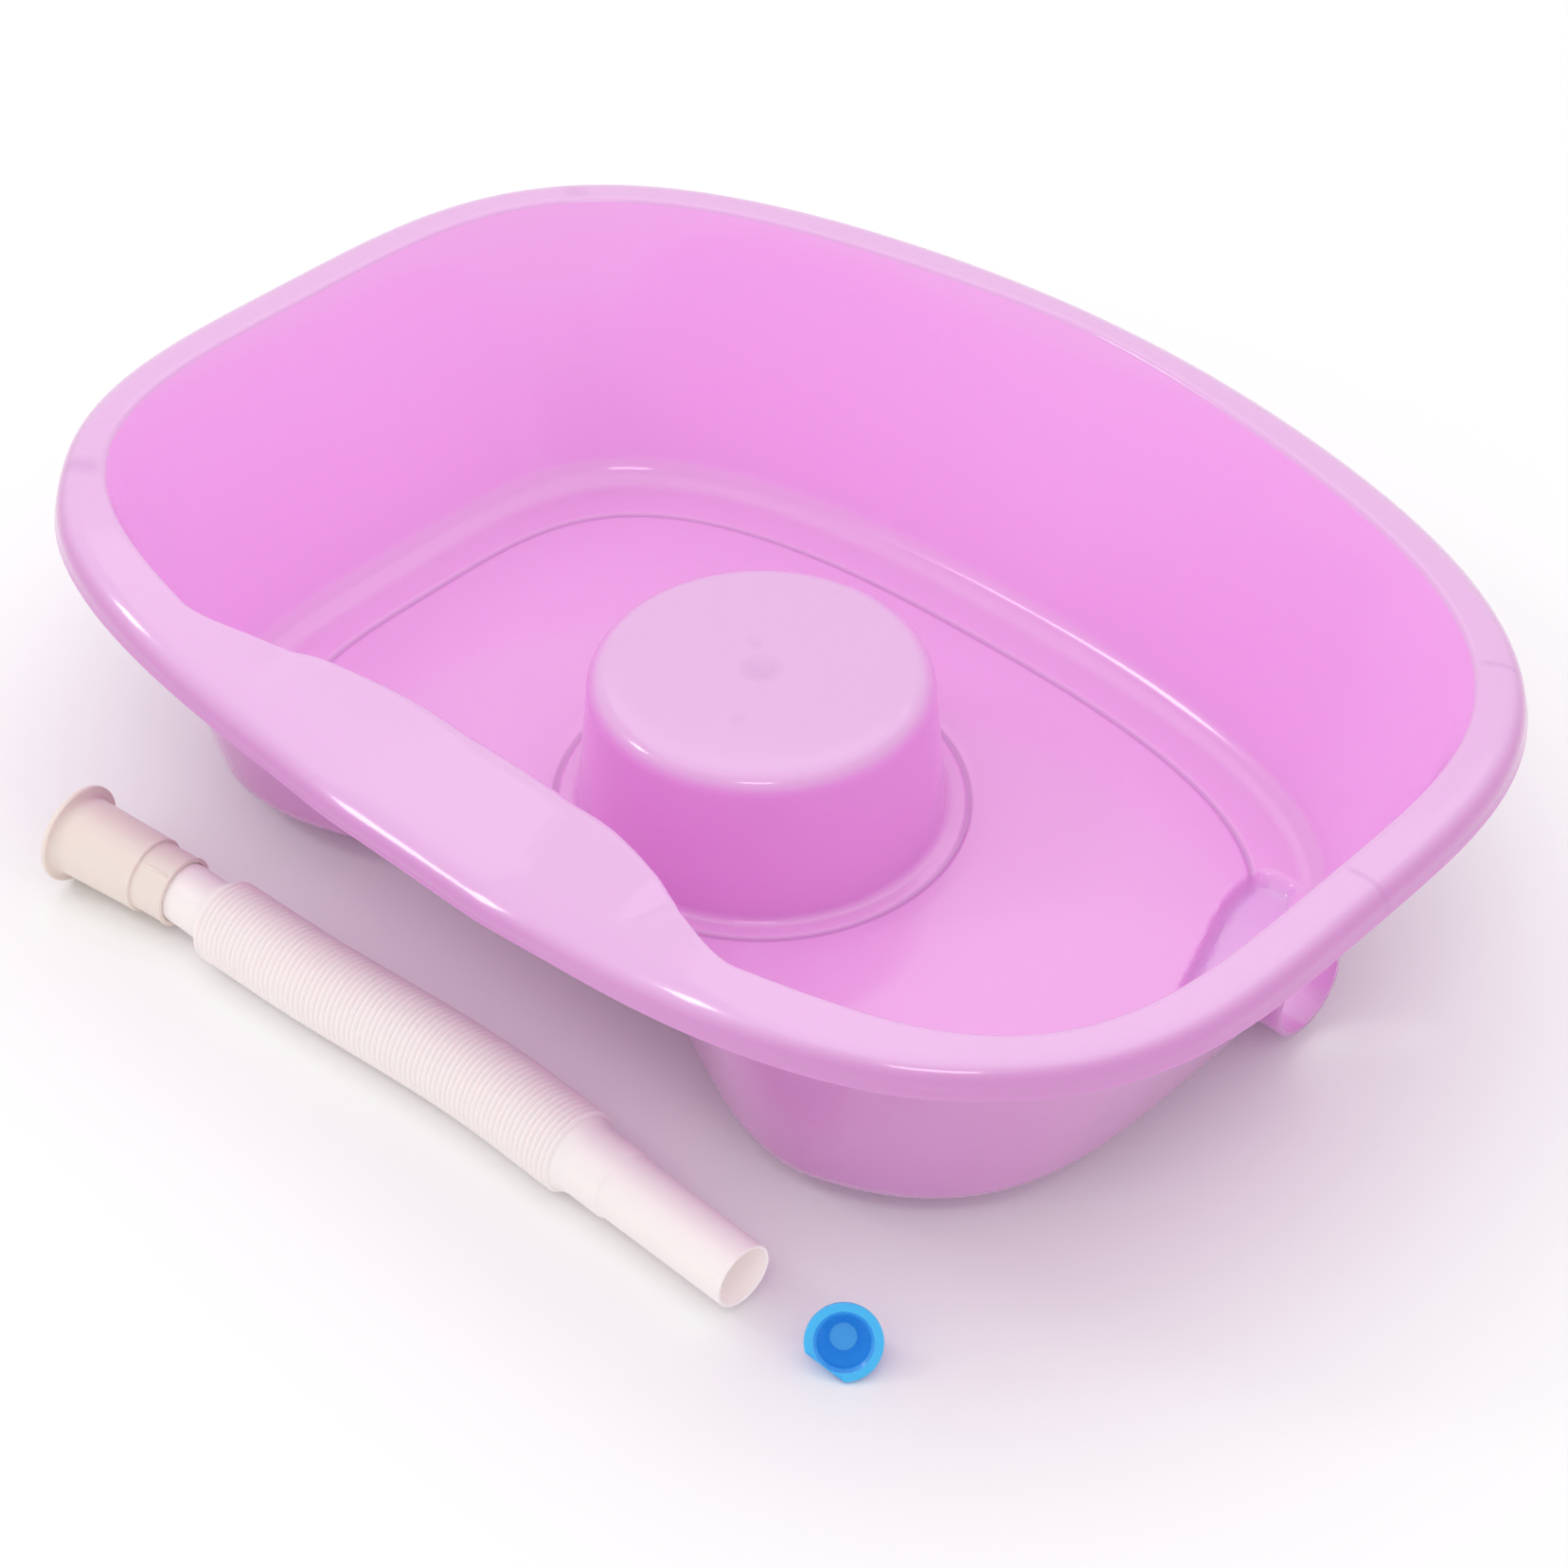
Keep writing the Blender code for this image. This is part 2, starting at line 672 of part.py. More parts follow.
def coupling_direction():
    """The coupling slopes, so that its flange and the bellows both lie on the ground."""
    drop = COUPLING_FLANGE_RADIUS - BELLOWS_RADIUS
    fall = math.asin(drop / (coupling_length() + NECK_LENGTH / 2))
    turn = math.radians(COUPLING_TURN_DEG)
    level = math.cos(fall)
    return Vector((math.cos(turn) * level, math.sin(turn) * level, -math.sin(fall)))


def level_direction(degrees):
    turn = math.radians(degrees)
    return Vector((math.cos(turn), math.sin(turn), 0))


def coupling_face():
    return Vector((*HOSE_START, COUPLING_FLANGE_RADIUS + GAP))


def bellows_start():
    return Vector((*BELLOWS_START, BELLOWS_RADIUS + GAP))


def spout_end():
    return Vector((*HOSE_END, BELLOWS_RADIUS + GAP))


def bellows_end():
    back = SPOUT_LENGTH + SPOUT_STEP_LENGTH + OUTLET_CUFF_LENGTH + SHOULDER_LENGTH
    return spout_end() - level_direction(SPOUT_TURN_DEG) * back


def bend(start, leaving, end, arriving, steps):
    """Places along one smooth curve between two straight runs."""
    pull = (end - start).length / 3
    near, far = start + leaving * pull, end - arriving * pull
    points = []
    for step in range(steps + 1):
        share = step / steps
        rest = 1 - share
        ends = start * rest**3 + end * share**3
        points.append(ends + near * 3 * rest**2 * share + far * 3 * rest * share**2)
    return points


def bellows_axis():
    """Straight for a tube's diameter at each end, with one smooth bend between."""
    leaving, arriving = level_direction(BELLOWS_TURN_DEG), level_direction(SPOUT_TURN_DEG)
    first = bellows_start() + leaving * 2 * BELLOWS_RADIUS
    last = bellows_end() - arriving * 2 * BELLOWS_RADIUS
    return [bellows_start(), *bend(first, leaving, last, arriving, BEND_STEPS), bellows_end()]


def along(points, distance):
    """The place at a distance along a line of points. It runs straight on past either end."""
    for near, far in zip(points, points[1:]):
        length = (far - near).length
        if distance <= length or far is points[-1]:
            return near + (far - near) * (distance / length)
        distance -= length
    return points[-1]


def tube(name, points, radii, resolution, home):
    """A tube along points, with a radius at each, as a closed mesh."""
    curve = bpy.data.curves.new(name, "CURVE")
    curve.dimensions = "3D"
    curve.bevel_depth = BELLOWS_RADIUS
    curve.bevel_resolution = resolution
    curve.use_fill_caps = True
    spline = curve.splines.new("POLY")
    spline.points.add(len(points) - 1)
    for point, place, radius in zip(spline.points, points, radii):
        point.co = (*place, 1)
        point.radius = radius / BELLOWS_RADIUS
    drawn = bpy.data.objects.new(name, curve)
    home.objects.link(drawn)
    bpy.context.view_layer.update()
    graph = bpy.context.evaluated_depsgraph_get()
    mesh = bpy.data.meshes.new_from_object(drawn.evaluated_get(graph))
    bpy.data.objects.remove(drawn, do_unlink=True)
    bm = bmesh.new()
    bm.from_mesh(mesh)
    bmesh.ops.remove_doubles(bm, verts=bm.verts, dist=WELD_DISTANCE)
    return object_from(bm, name, home)


def make_bellows(milky, parts, helpers):
    """The ribbed stretch of the hose: a crest and a valley for each rib, round a plain bore."""
    axis = bellows_axis()
    valley = BELLOWS_RADIUS - RIB_DEPTH
    length = sum((far - near).length for near, far in zip(axis, axis[1:])) - 2 * GAP
    steps = 2 * RIB_COUNT
    places = [along(axis, GAP + length * step / steps) for step in range(steps + 1)]
    radii = [valley if step % 2 == 0 else BELLOWS_RADIUS for step in range(steps + 1)]
    bellows = tube("hose_bellows", places, radii, BELLOWS_RESOLUTION, parts)
    bellows.data.materials.append(milky)
    bore_places = [along(axis, -OVERRUN), *axis[1:-1], along(axis, length + OVERRUN)]
    bore_radii = [valley - HOSE_WALL] * len(bore_places)
    bore = tube("bellows_bore", bore_places, bore_radii, BELLOWS_RESOLUTION, helpers)
    boolean(bellows, as_helper(bore), "DIFFERENCE")
    return bellows


def make_inlet_cuff(milky, parts, helpers):
    """The cuff in the coupling's socket, its soft neck, and the shoulder up to the bellows."""
    leaving, arriving = coupling_direction(), level_direction(BELLOWS_TURN_DEG)
    mouth = coupling_face() + leaving * coupling_length()
    inner_end = mouth - leaving * (COUPLING_SOCKET_LENGTH - GAP)
    shoulder = bellows_start() - arriving * SHOULDER_LENGTH
    valley = BELLOWS_RADIUS - RIB_DEPTH
    places = [inner_end, *bend(mouth, leaving, shoulder, arriving, NECK_STEPS), bellows_start()]
    radii = [CUFF_RADIUS] * (len(places) - 1) + [valley]
    cuff = tube("hose_inlet_cuff", places, radii, CUFF_RESOLUTION, parts)
    cuff.data.materials.append(milky)
    places[0] -= leaving * OVERRUN
    places.append(places[-1] + arriving * OVERRUN)
    radii = [radius - HOSE_WALL for radius in radii]
    bore = tube("cuff_bore", places, [*radii, radii[-1]], CUFF_RESOLUTION, helpers)
    boolean(cuff, as_helper(bore), "DIFFERENCE")
    return cuff


def make_outlet_spout(milky, parts):
    """The shoulder down from the bellows, a plain cuff, and the narrower spout."""
    step_end = SPOUT_LENGTH + SPOUT_STEP_LENGTH
    cuff_end = step_end + OUTLET_CUFF_LENGTH
    top = cuff_end + SHOULDER_LENGTH
    outer = [
        (BELLOWS_RADIUS - RIB_DEPTH, top),
        (OUTLET_CUFF_RADIUS, cuff_end),
        (OUTLET_CUFF_RADIUS, step_end),
        (SPOUT_ROOT_RADIUS, SPOUT_LENGTH),
        (SPOUT_TIP_RADIUS, 0),
    ]
    inner = [(radius - HOSE_WALL, height) for radius, height in reversed(outer)]
    spout = turned("hose_outlet_spout", outer + inner, True, HOSE_SIDES, parts, milky)
    aim(spout, spout_end(), -level_direction(SPOUT_TURN_DEG))
    return spout


def make_coupling(parts, helpers):
    """A flanged sleeve, and a collar whose socket takes the hose's cuff."""
    ivory = principled("coupling_ivory", (0.86, 0.82, 0.76), 0.38)
    socket_radius = CUFF_RADIUS + GAP
    bore_radius = CUFF_RADIUS - HOSE_WALL
    collar_radius = socket_radius + COUPLING_WALL
    sleeve_end = COUPLING_COLLAR_LENGTH + COUPLING_SLEEVE_LENGTH
    fillet = COUPLING_FLANGE_FILLET
    wide_bore = COUPLING_SLEEVE_TIP_RADIUS - COUPLING_WALL
    profile = [
        (COUPLING_FLANGE_RADIUS - fillet / 2, coupling_length()),
        (COUPLING_FLANGE_RADIUS, coupling_length() - fillet / 2),
        (COUPLING_FLANGE_RADIUS, sleeve_end + fillet / 2),
        (COUPLING_FLANGE_RADIUS - fillet / 2, sleeve_end),
        (COUPLING_SLEEVE_ROOT_RADIUS + fillet, sleeve_end),
        (COUPLING_SLEEVE_ROOT_RADIUS, sleeve_end - fillet),
        (COUPLING_SLEEVE_TIP_RADIUS, COUPLING_COLLAR_LENGTH),
        (collar_radius, COUPLING_COLLAR_LENGTH),
        (collar_radius, 0),
        (socket_radius, 0),
        (socket_radius, COUPLING_SOCKET_LENGTH),
        (bore_radius, COUPLING_SOCKET_LENGTH),
        (bore_radius, COUPLING_COLLAR_LENGTH),
        (wide_bore, COUPLING_COLLAR_LENGTH + wide_bore - bore_radius),
        (wide_bore, coupling_length()),
    ]
    coupling = turned("drain_coupling", profile, True, COUPLING_SIDES, parts, ivory)
    leaving = coupling_direction()
    aim(coupling, coupling_face() + leaving * coupling_length(), -leaving)
    bm = bmesh.new()
    bmesh.ops.create_cube(bm, size=1)
    key = as_helper(object_from(bm, "coupling_key", helpers))
    key.scale = (COUPLING_WALL, COUPLING_KEY_WIDTH, COUPLING_SOCKET_LENGTH)
    out = collar_radius + COUPLING_KEY_HEIGHT - COUPLING_WALL / 2
    turn = math.radians(COUPLING_KEY_TURN_DEG)
    key.parent = coupling
    key.location = (out * math.cos(turn), out * math.sin(turn), COUPLING_COLLAR_LENGTH / 2)
    key.rotation_euler.z = turn
    boolean(coupling, key, "UNION")
    return coupling


def stopper_lean():
    """The angle at which the stopper lies on its flange's edge and, first to touch, its cup or tip."""
    cup = math.atan2(STOPPER_FLANGE_RADIUS - STOPPER_CUP_RADIUS, STOPPER_CUP_STRAIGHT)
    tip = math.atan2(STOPPER_FLANGE_RADIUS - STOPPER_TIP_RADIUS, STOPPER_DEPTH - STOPPER_FLANGE_THICKNESS)
    return min(cup, tip)


def make_stopper(parts, helpers):
    """A hollow cup under a flange with one flat side, lying on its side on the ground."""
    blue = principled("stopper_blue", (0.03, 0.36, 0.83), 0.3, 0.4)
    straight_end = -STOPPER_FLANGE_THICKNESS - STOPPER_CUP_STRAIGHT
    mouth = STOPPER_CUP_RADIUS - STOPPER_WALL
    profile = [
        (0, STOPPER_WALL - STOPPER_DEPTH),
        (STOPPER_TIP_RADIUS - STOPPER_WALL / 2, STOPPER_WALL - STOPPER_DEPTH),
        (mouth, straight_end),
        (mouth, -STOPPER_WALL),
        (STOPPER_CUP_RADIUS, 0),
        (STOPPER_FLANGE_RADIUS, 0),
        (STOPPER_FLANGE_RADIUS, -STOPPER_FLANGE_THICKNESS),
        (STOPPER_CUP_RADIUS, -STOPPER_FLANGE_THICKNESS),
        (STOPPER_CUP_RADIUS, straight_end),
        (STOPPER_TIP_RADIUS, -STOPPER_DEPTH),
        (0, -STOPPER_DEPTH),
    ]
    stopper = turned("drain_stopper", profile, False, STOPPER_SIDES, parts, blue)
    lean, turn = stopper_lean(), math.radians(STOPPER_TURN_DEG)
    level = math.cos(lean)
    facing = Vector((math.sin(turn) * level, -math.cos(turn) * level, math.sin(lean)))
    rise = STOPPER_FLANGE_RADIUS * level + STOPPER_FLANGE_THICKNESS * math.sin(lean) + GAP
    aim(stopper, (STOPPER_X, STOPPER_Y, rise), facing)
    bm = bmesh.new()
    bmesh.ops.create_cube(bm, size=1)
    flat = as_helper(object_from(bm, "stopper_flat", helpers))
    width = STOPPER_FLANGE_RADIUS - STOPPER_FLAT_DISTANCE + OVERRUN
    flat.scale = (width, 2 * STOPPER_FLANGE_RADIUS, STOPPER_FLANGE_THICKNESS + OVERRUN)
    flat_turn = math.radians(STOPPER_FLAT_TURN_DEG)
    out = STOPPER_FLAT_DISTANCE + width / 2
    flat.parent = stopper
    flat.location = (out * math.cos(flat_turn), out * math.sin(flat_turn), 0)
    flat.rotation_euler.z = flat_turn
    boolean(stopper, flat, "DIFFERENCE")
    return stopper


def main():
    clear_scene()
    parts = collection("portable_shampoo_basin")
    helpers = collection("cutters_and_joined_blocks")
    helpers.hide_render = True
    milky = principled("hose_milky", (0.88, 0.83, 0.84), 0.4, 0.3)
    make_bowl(parts, helpers)
    make_coupling(parts, helpers)
    make_inlet_cuff(milky, parts, helpers)
    make_bellows(milky, parts, helpers)
    make_outlet_spout(milky, parts)
    make_stopper(parts, helpers)


main()
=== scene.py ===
"""Looks of the portable shampoo basin: its glossy bowl, milky drain hose, coupling and stopper.

Lengths are in metres and angles in degrees. X runs along the bowl, towards its drain. -Y is the
neck rest's side. Z is up from the ground.
"""

import math
from collections import namedtuple

import bmesh
import bpy
from bpy.props import FloatProperty, FloatVectorProperty, IntProperty, PointerProperty
from bpy.types import Operator, Panel, PropertyGroup
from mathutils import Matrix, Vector


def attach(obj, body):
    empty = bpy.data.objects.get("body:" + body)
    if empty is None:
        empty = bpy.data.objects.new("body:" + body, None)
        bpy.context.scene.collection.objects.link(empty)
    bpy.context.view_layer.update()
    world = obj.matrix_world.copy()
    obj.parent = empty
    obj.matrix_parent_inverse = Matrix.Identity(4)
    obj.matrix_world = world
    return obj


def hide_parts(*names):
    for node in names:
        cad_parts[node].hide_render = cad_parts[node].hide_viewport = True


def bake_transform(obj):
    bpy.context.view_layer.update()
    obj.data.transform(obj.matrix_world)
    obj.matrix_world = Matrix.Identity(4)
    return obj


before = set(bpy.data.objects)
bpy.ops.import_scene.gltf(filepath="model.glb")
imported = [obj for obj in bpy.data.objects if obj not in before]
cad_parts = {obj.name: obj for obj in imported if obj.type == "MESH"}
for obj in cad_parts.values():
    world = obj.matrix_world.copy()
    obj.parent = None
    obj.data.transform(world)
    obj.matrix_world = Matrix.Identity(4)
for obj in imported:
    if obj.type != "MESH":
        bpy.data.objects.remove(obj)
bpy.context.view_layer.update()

bl_info = {
    "name": "Portable Shampoo Basin",
    "version": (1, 0, 0),
    "blender": (4, 5, 0),
    "location": "3D View > Sidebar > Basin",
    "description": "Finishes the bowl, the drain hose, its coupling and its stopper",
    "category": "Object",
}

Outline = namedtuple("Outline", "half_length back front side_power back_power front_power")
Corner = namedtuple("Corner", "radius height fillet steps")

# Clearance between touching pieces, how far a cutter runs past what it cuts, and the distance
# within which points are welded into one
GAP = 0.0003
OVERRUN = 0.004
WELD_DISTANCE = 0.00001

# Bowl
RIM_HEIGHT = 0.129
BOWL_WALL = 0.0024
HALF_LENGTH = 0.2772
REST_TO_BACK = 0.217
REST_TO_FRONT = 0.2005
REST_Y = -0.013
FLOOR_HEIGHT = 0.011
SIDE_LEAN = 0.0405
BACK_LEAN = 0.0425
FRONT_LEAN = 0.0165
WALL_FILLET = 0.016

# Rim and its skirt
RIM_WIDTH = 0.0198
RIM_BACK_WIDTH = 0.016
RIM_FRONT_WIDTH = 0.035
RIM_INNER_FILLET = 0.003
RIM_OUTER_FILLET = 0.009
SKIRT_DEPTH = 0.0108
SKIRT_FLARE = 0.0009

# Squareness of the plan curves at their sides, back and front: 2 is an ellipse, and more is squarer
RIM_POWERS = (3.44, 2.12, 2.95)
BOWL_POWERS = (3.8, 1.9, 3.73)
FLOOR_POWERS = (3.7, 2.7, 3.65)

# Neck rest: a saddle in the front rim, whose inner edge reaches in over the bowl
NECK_DIP = 0.0224
NECK_REACH = 0.0422
NECK_SET_BACK = 0.0175
NECK_WALL_SET_BACK = 0.042
NECK_INNER_FILLET = 0.008
NECK_OUTER_FILLET = 0.020
DIP_DEG = (10, 51)
LOBE_DEG = (15, 41)
LOBE_FOLD_DEG = 34
LOBE_POWERS = (2.2, 1.5)
SET_BACK_DEG = (16, 54)
WALL_DEG = (30, 48)

# Head rest
REST_HEIGHT = 0.065
REST_TOP_RADIUS = 0.0665
REST_FOOT_RADIUS = 0.0725
REST_EDGE_FILLET = 0.009
REST_FOOT_FILLET = 0.005

# Floor grooves, with a foot rib under each
GROOVE_WIDTH = 0.0044
GROOVE_DEPTH = 0.0007
GROOVE_SPREAD = 1.5
REST_GROOVE_MARGIN = 0.009
LEDGE_WIDTH = 0.025
NECK_LEDGE_WIDTH = 0.014
FOOT_THICKNESS = 0.0022

# Stiffening ribs under the rim, by their angle round the head rest. Each has a mirrored one
RIM_RIB_THICKNESS = 0.0016
RIM_RIB_DEPTH = 0.010
RIM_RIB_ANGLES_DEG = (-30.5, 2.3, 29.7, 57.1)

# Sump, whose far side follows the bowl's right-hand end, and the drain spigot beyond it
SPIGOT_RADIUS = 0.0187
SPIGOT_WALL = 0.002
SPIGOT_Y = 0.0355
SPIGOT_REACH = 0.0019
SPIGOT_SIDES = 96
SUMP_DEPTH = 0.0055
SUMP_DRAFT = 0.005
SUMP_WALL_MARGIN = 0.0122
SUMP_LENGTH = 0.037
SUMP_FRONT_LENGTH = 0.0125
SUMP_FRONT_Y = -0.003
SUMP_BEND_Y = 0.066
SUMP_BACK_Y = 0.090
SUMP_BEND_RADIUS = 0.060
SUMP_CORNER_RADIUS = 0.011
SUMP_END_RADIUS = 0.007
BORE_LIFT = 0.0002

# Hose, from its inlet cuff to its spout
HOSE_WALL = 0.0012
CUFF_RADIUS = 0.0121
NECK_LENGTH = 0.0154
SHOULDER_LENGTH = 0.006
BELLOWS_RADIUS = 0.0166
RIB_DEPTH = 0.0016
RIB_COUNT = 72
OUTLET_CUFF_RADIUS = 0.0136
OUTLET_CUFF_LENGTH = 0.015
SPOUT_STEP_LENGTH = 0.002
SPOUT_ROOT_RADIUS = 0.0128
SPOUT_TIP_RADIUS = 0.0123
SPOUT_LENGTH = 0.058
NECK_STEPS = 6
BELLOWS_STEPS = 12
SHOULDER_STEPS = 8
LIP_STEPS = 4

# The hose's axis on the ground: the middle of the coupling's face, the end of the spout and the
# directions there, counted from +X
HOSE_START = (-0.1716, -0.2163)
COUPLING_TURN_DEG = 8.6
HOSE_END = (0.169, -0.2006)
BELLOWS_TURN_DEG = 2.4
SPOUT_TURN_DEG = -1.2
BELLOWS_START = (-0.0945, -0.2070)

# Coupling
COUPLING_FLANGE_RADIUS = 0.0200
COUPLING_FLANGE_THICKNESS = 0.0025
COUPLING_FLANGE_FILLET = 0.0012
COUPLING_SLEEVE_LENGTH = 0.0378
COUPLING_SLEEVE_ROOT_RADIUS = 0.0160
COUPLING_SLEEVE_TIP_RADIUS = 0.0153
COUPLING_WALL = 0.0018
COUPLING_COLLAR_LENGTH = 0.0151
COUPLING_SOCKET_LENGTH = 0.012
COUPLING_KEY_WIDTH = 0.0012
COUPLING_KEY_HEIGHT = 0.0004
COUPLING_KEY_TURN_DEG = 62
COUPLING_LIP = 0.0003

# Stopper
STOPPER_FLANGE_RADIUS = 0.01345
STOPPER_FLANGE_THICKNESS = 0.0018
STOPPER_FLAT_DISTANCE = 0.0106
STOPPER_CUP_RADIUS = 0.0104
STOPPER_CUP_STRAIGHT = 0.0036
STOPPER_TIP_RADIUS = 0.0053
STOPPER_DEPTH = 0.0119
STOPPER_WALL = 0.0013
STOPPER_PLACE = (0.2100, -0.1955)
STOPPER_TURN_DEG = 43
STOPPER_FLAT_TURN_DEG = 233

# The neck rest's direction, the longest fillet as a share of its shorter side, and the angles past
# which the pieces' edges are shaded sharp
FRONT_DEG = -90
FILLET_SIDE_SHARE = 0.49
BOWL_SHARP_DEG = 38
COUPLING_SHARP_DEG = 40
STOPPER_SHARP_DEG = 35

# Moulding marks on the head rest's top and over the rim's ribs, and how far the painted highlight
# on the rim's top (a paler colour) fades down the wall
GATE_DEPTH = 0.0003
GATE_RADIUS = 0.0045
GATE_SHADE = 0.6
EJECTOR_RADIUS = 0.0032
EJECTOR_PLACES = ((-0.0135, 0.0105), (0.0150, -0.0295))
EJECTOR_SHADE = 0.3
RIB_MARK_WIDTH = 0.0008
RIB_MARK_FADE = 0.006
TOP_HIGHLIGHT_FADE = 0.004
WALL_GLOW_RISE = 0.012

# The rim's outer roll, and how wide and high it is along the neck rest
ROLL_WIDTH = 0.0100
ROLL_HEIGHT = 0.0085
NECK_ROLL_WIDTH = 0.026
NECK_ROLL_HEIGHT = 0.0100

# Creases where the neck rest's ends fold into the rim, each counted from the front
CREASE_DEG = 34
CREASE_BEND_DEG = 7
CREASE_WIDTH_DEG = 1.6
CREASE_DEPTH = 0.0026
CREASE_REACH = 0.8

# The lights: each one's place, what it faces, its size in metres and its power in watts
LIGHTS = {
    "overhead": ((-0.25, 0.5, 2.3), (0, 0, 0), (3.0, 3.0), 14),
    "left_box": ((-1.15, -0.95, 1.35), (0, 0, 0.05), (0.3, 0.3), 2.5),
    "front_box": ((0.75, -0.95, 1.75), (0, 0, 0.05), (0.6, 0.25), 2.5),
}


def color_property(name, description, default):
    kind = {"subtype": "COLOR", "size": 3}
    return FloatVectorProperty(name=name, description=description, default=default, **kind)


def place_property(name, description, default):
    kind = {"subtype": "TRANSLATION", "size": 3}
    return FloatVectorProperty(name=name, description=description, default=default, **kind)


class BasinFinish(PropertyGroup):
    """The bowl's fineness and colours, among them its painted highlight, light and shade."""

    station_step: FloatProperty(
        name="Station Step",
        description="Degrees between two profiles of the bowl, away from its sump and folds",
        default=1.5,
    )
    sump_step: FloatProperty(
        name="Sump Step",
        description="Degrees between two profiles beside the sump and at the neck rest's folds",
        default=0.45,
    )
    color: color_property("Bowl Colour", "Colour of the floor", (0.84, 0.38, 0.78))
    # Painted highlight: the paler colour of the rim's and the head rest's upward faces, also used for the
    # random pale clouding
    top_highlight_and_tone_color: color_property(
        "Pale Colour", "Colour of the rim and of the head rest's top", (0.77, 0.43, 0.74)
    )
    # Painted shade in the floor's grooves; the moulding marks take this colour too
    groove_shade_and_mark_color: color_property("Groove Colour", "Colour in the floor's grooves", (0.50, 0.18, 0.50))
    # Painted light: a lighter colour on the walls' inner faces, for light coming through the wall
    wall_through_light_color: color_property(
        "Wall Colour", "Colour of the walls' inside, where light comes through", (0.90, 0.43, 0.85)
    )
    through_color: color_property(
        "Light Through the Wall", "Light that comes through the walls to the inside", (0.065, 0.035, 0.06)
    )
    # Painted shade: the darker colour of the walls' and the skirt's outward faces
    outside_shade_color: color_property("Outside Colour", "Colour of the walls' outside", (0.62, 0.235, 0.56))
    sump_color: color_property(
        "Sump Colour", "Colour in the sump, where the floor is thinner", (0.74, 0.43, 0.80)
    )


class HoseFinish(PropertyGroup):
    """The hose's fineness and colours."""

    sides: IntProperty(
        name="Sides",
        description="Points round the hose",
        default=64,
    )
    rings_per_rib: IntProperty(
        name="Rings per Rib",
        description="Rings along one rib of the bellows",
        default=8,
    )
    color: color_property("Hose Colour", "Colour of the milky hose", (0.92, 0.86, 0.85))
    through_color: color_property(
        "Light Through the Wall", "Light that comes through to the hose's inside", (0.11, 0.10, 0.10)
    )
    glow_color: color_property(
        "Light Through the Hose", "Light that comes through to the hose's outside", (0.05, 0.045, 0.045)
    )


class FittingFinish(PropertyGroup):
    """The coupling's and the stopper's fineness and colours."""

    sides: IntProperty(
        name="Sides",
        description="Points round the coupling and the stopper",
        default=128,
    )
    coupling_color: color_property("Coupling Colour", "Colour of the ivory coupling", (0.88, 0.78, 0.73))
    stopper_color: color_property("Stopper Colour", "Colour of the blue stopper", (0.04, 0.36, 0.88))


class StudioSet(PropertyGroup):
    """The camera, the floor and the light."""

    camera_place: place_property("Camera Place", "Where the camera stands", (0.699, -0.7476, 0.904))
    camera_target: place_property("Camera Target", "What the camera looks at", (0.0937, -0.1004, 0.129))
    focal_length: FloatProperty(
        name="Focal Length",
        description="Focal length in millimetres",
        default=78.7,
    )
    floor_size: FloatProperty(
        name="Floor Size",
        description="Length of the floor's side",
        default=12.0,
        unit="LENGTH",
    )
    floor_color: color_property("Floor Colour", "Colour of the plain floor", (0.97, 0.97, 0.97))
    world_strength: FloatProperty(
        name="Ambient Light",
        description="Strength of the even light from all round",
        default=0.84,
    )


class Value:
    """A shader value. Sums and products of it add their Math nodes."""

    def __init__(self, shading, socket):
        self.shading = shading
        self.socket = socket

    def maths(self, operation, other):
        return self.shading.node("ShaderNodeMath", {"operation": operation}, {0: self, 1: other})

    def __add__(self, other):
        return self.maths("ADD", other)

    __radd__ = __add__

    def __mul__(self, other):
        return self.maths("MULTIPLY", other)

    __rmul__ = __mul__


class Shading:
    """A material's nodes. Principled values that are the same all over are set on its sockets."""

    def __init__(self, name, **constants):
        self.material = bpy.data.materials.new(name)
        self.material.use_nodes = True
        self.tree = self.material.node_tree
        self.shader = self.tree.nodes["Principled BSDF"]
        self.finish(**constants)

    def node(self, kind, settings=None, inputs=None, output=0):
        made = self.tree.nodes.new(kind)
        for setting, value in (settings or {}).items():
            setattr(made, setting, value)
        for socket, value in (inputs or {}).items():
            self.join(made.inputs[socket], value)
        return Value(self, made.outputs[output])

    def join(self, socket, value):
        if isinstance(value, Value):
            self.tree.links.new(value.socket, socket)
        elif socket.type == "RGBA":
            socket.default_value = (*value, 1.0)
        else:
            socket.default_value = value

    def mix(self, share, first, second):
        """A colour between two, by a share from 0 to 1."""
        settings = {"data_type": "RGBA", "clamp_factor": True}
        return self.node("ShaderNodeMix", settings, {0: share, 6: first, 7: second}, 2)

    def attribute(self, name):
        return self.node("ShaderNodeAttribute", {"attribute_name": name}, output="Fac")

    def noise(self, scale, detail=2.0, stretch=(1, 1, 1)):
        place = self.node("ShaderNodeNewGeometry", output="Position")
        place = self.node("ShaderNodeVectorMath", {"operation": "MULTIPLY"}, {0: place, 1: stretch})
        return self.node("ShaderNodeTexNoise", None, {"Vector": place, "Scale": scale, "Detail": detail})

    def bump(self, height, strength, distance, normal=None):
        inputs = {"Height": height, "Strength": strength, "Distance": distance}
        if normal:
            inputs["Normal"] = normal
        return self.node("ShaderNodeBump", None, inputs)

    def finish(self, **sockets):
        """Sets or joins the shader's sockets, named with underscores and small letters."""
        for name, value in sockets.items():
            name = name.replace("_", " ").title().replace("Ior", "IOR")
            self.join(self.shader.inputs[name], value)
        return self.material


def tinted(color, shares):
    return tuple(part * share for part, share in zip(color, shares))


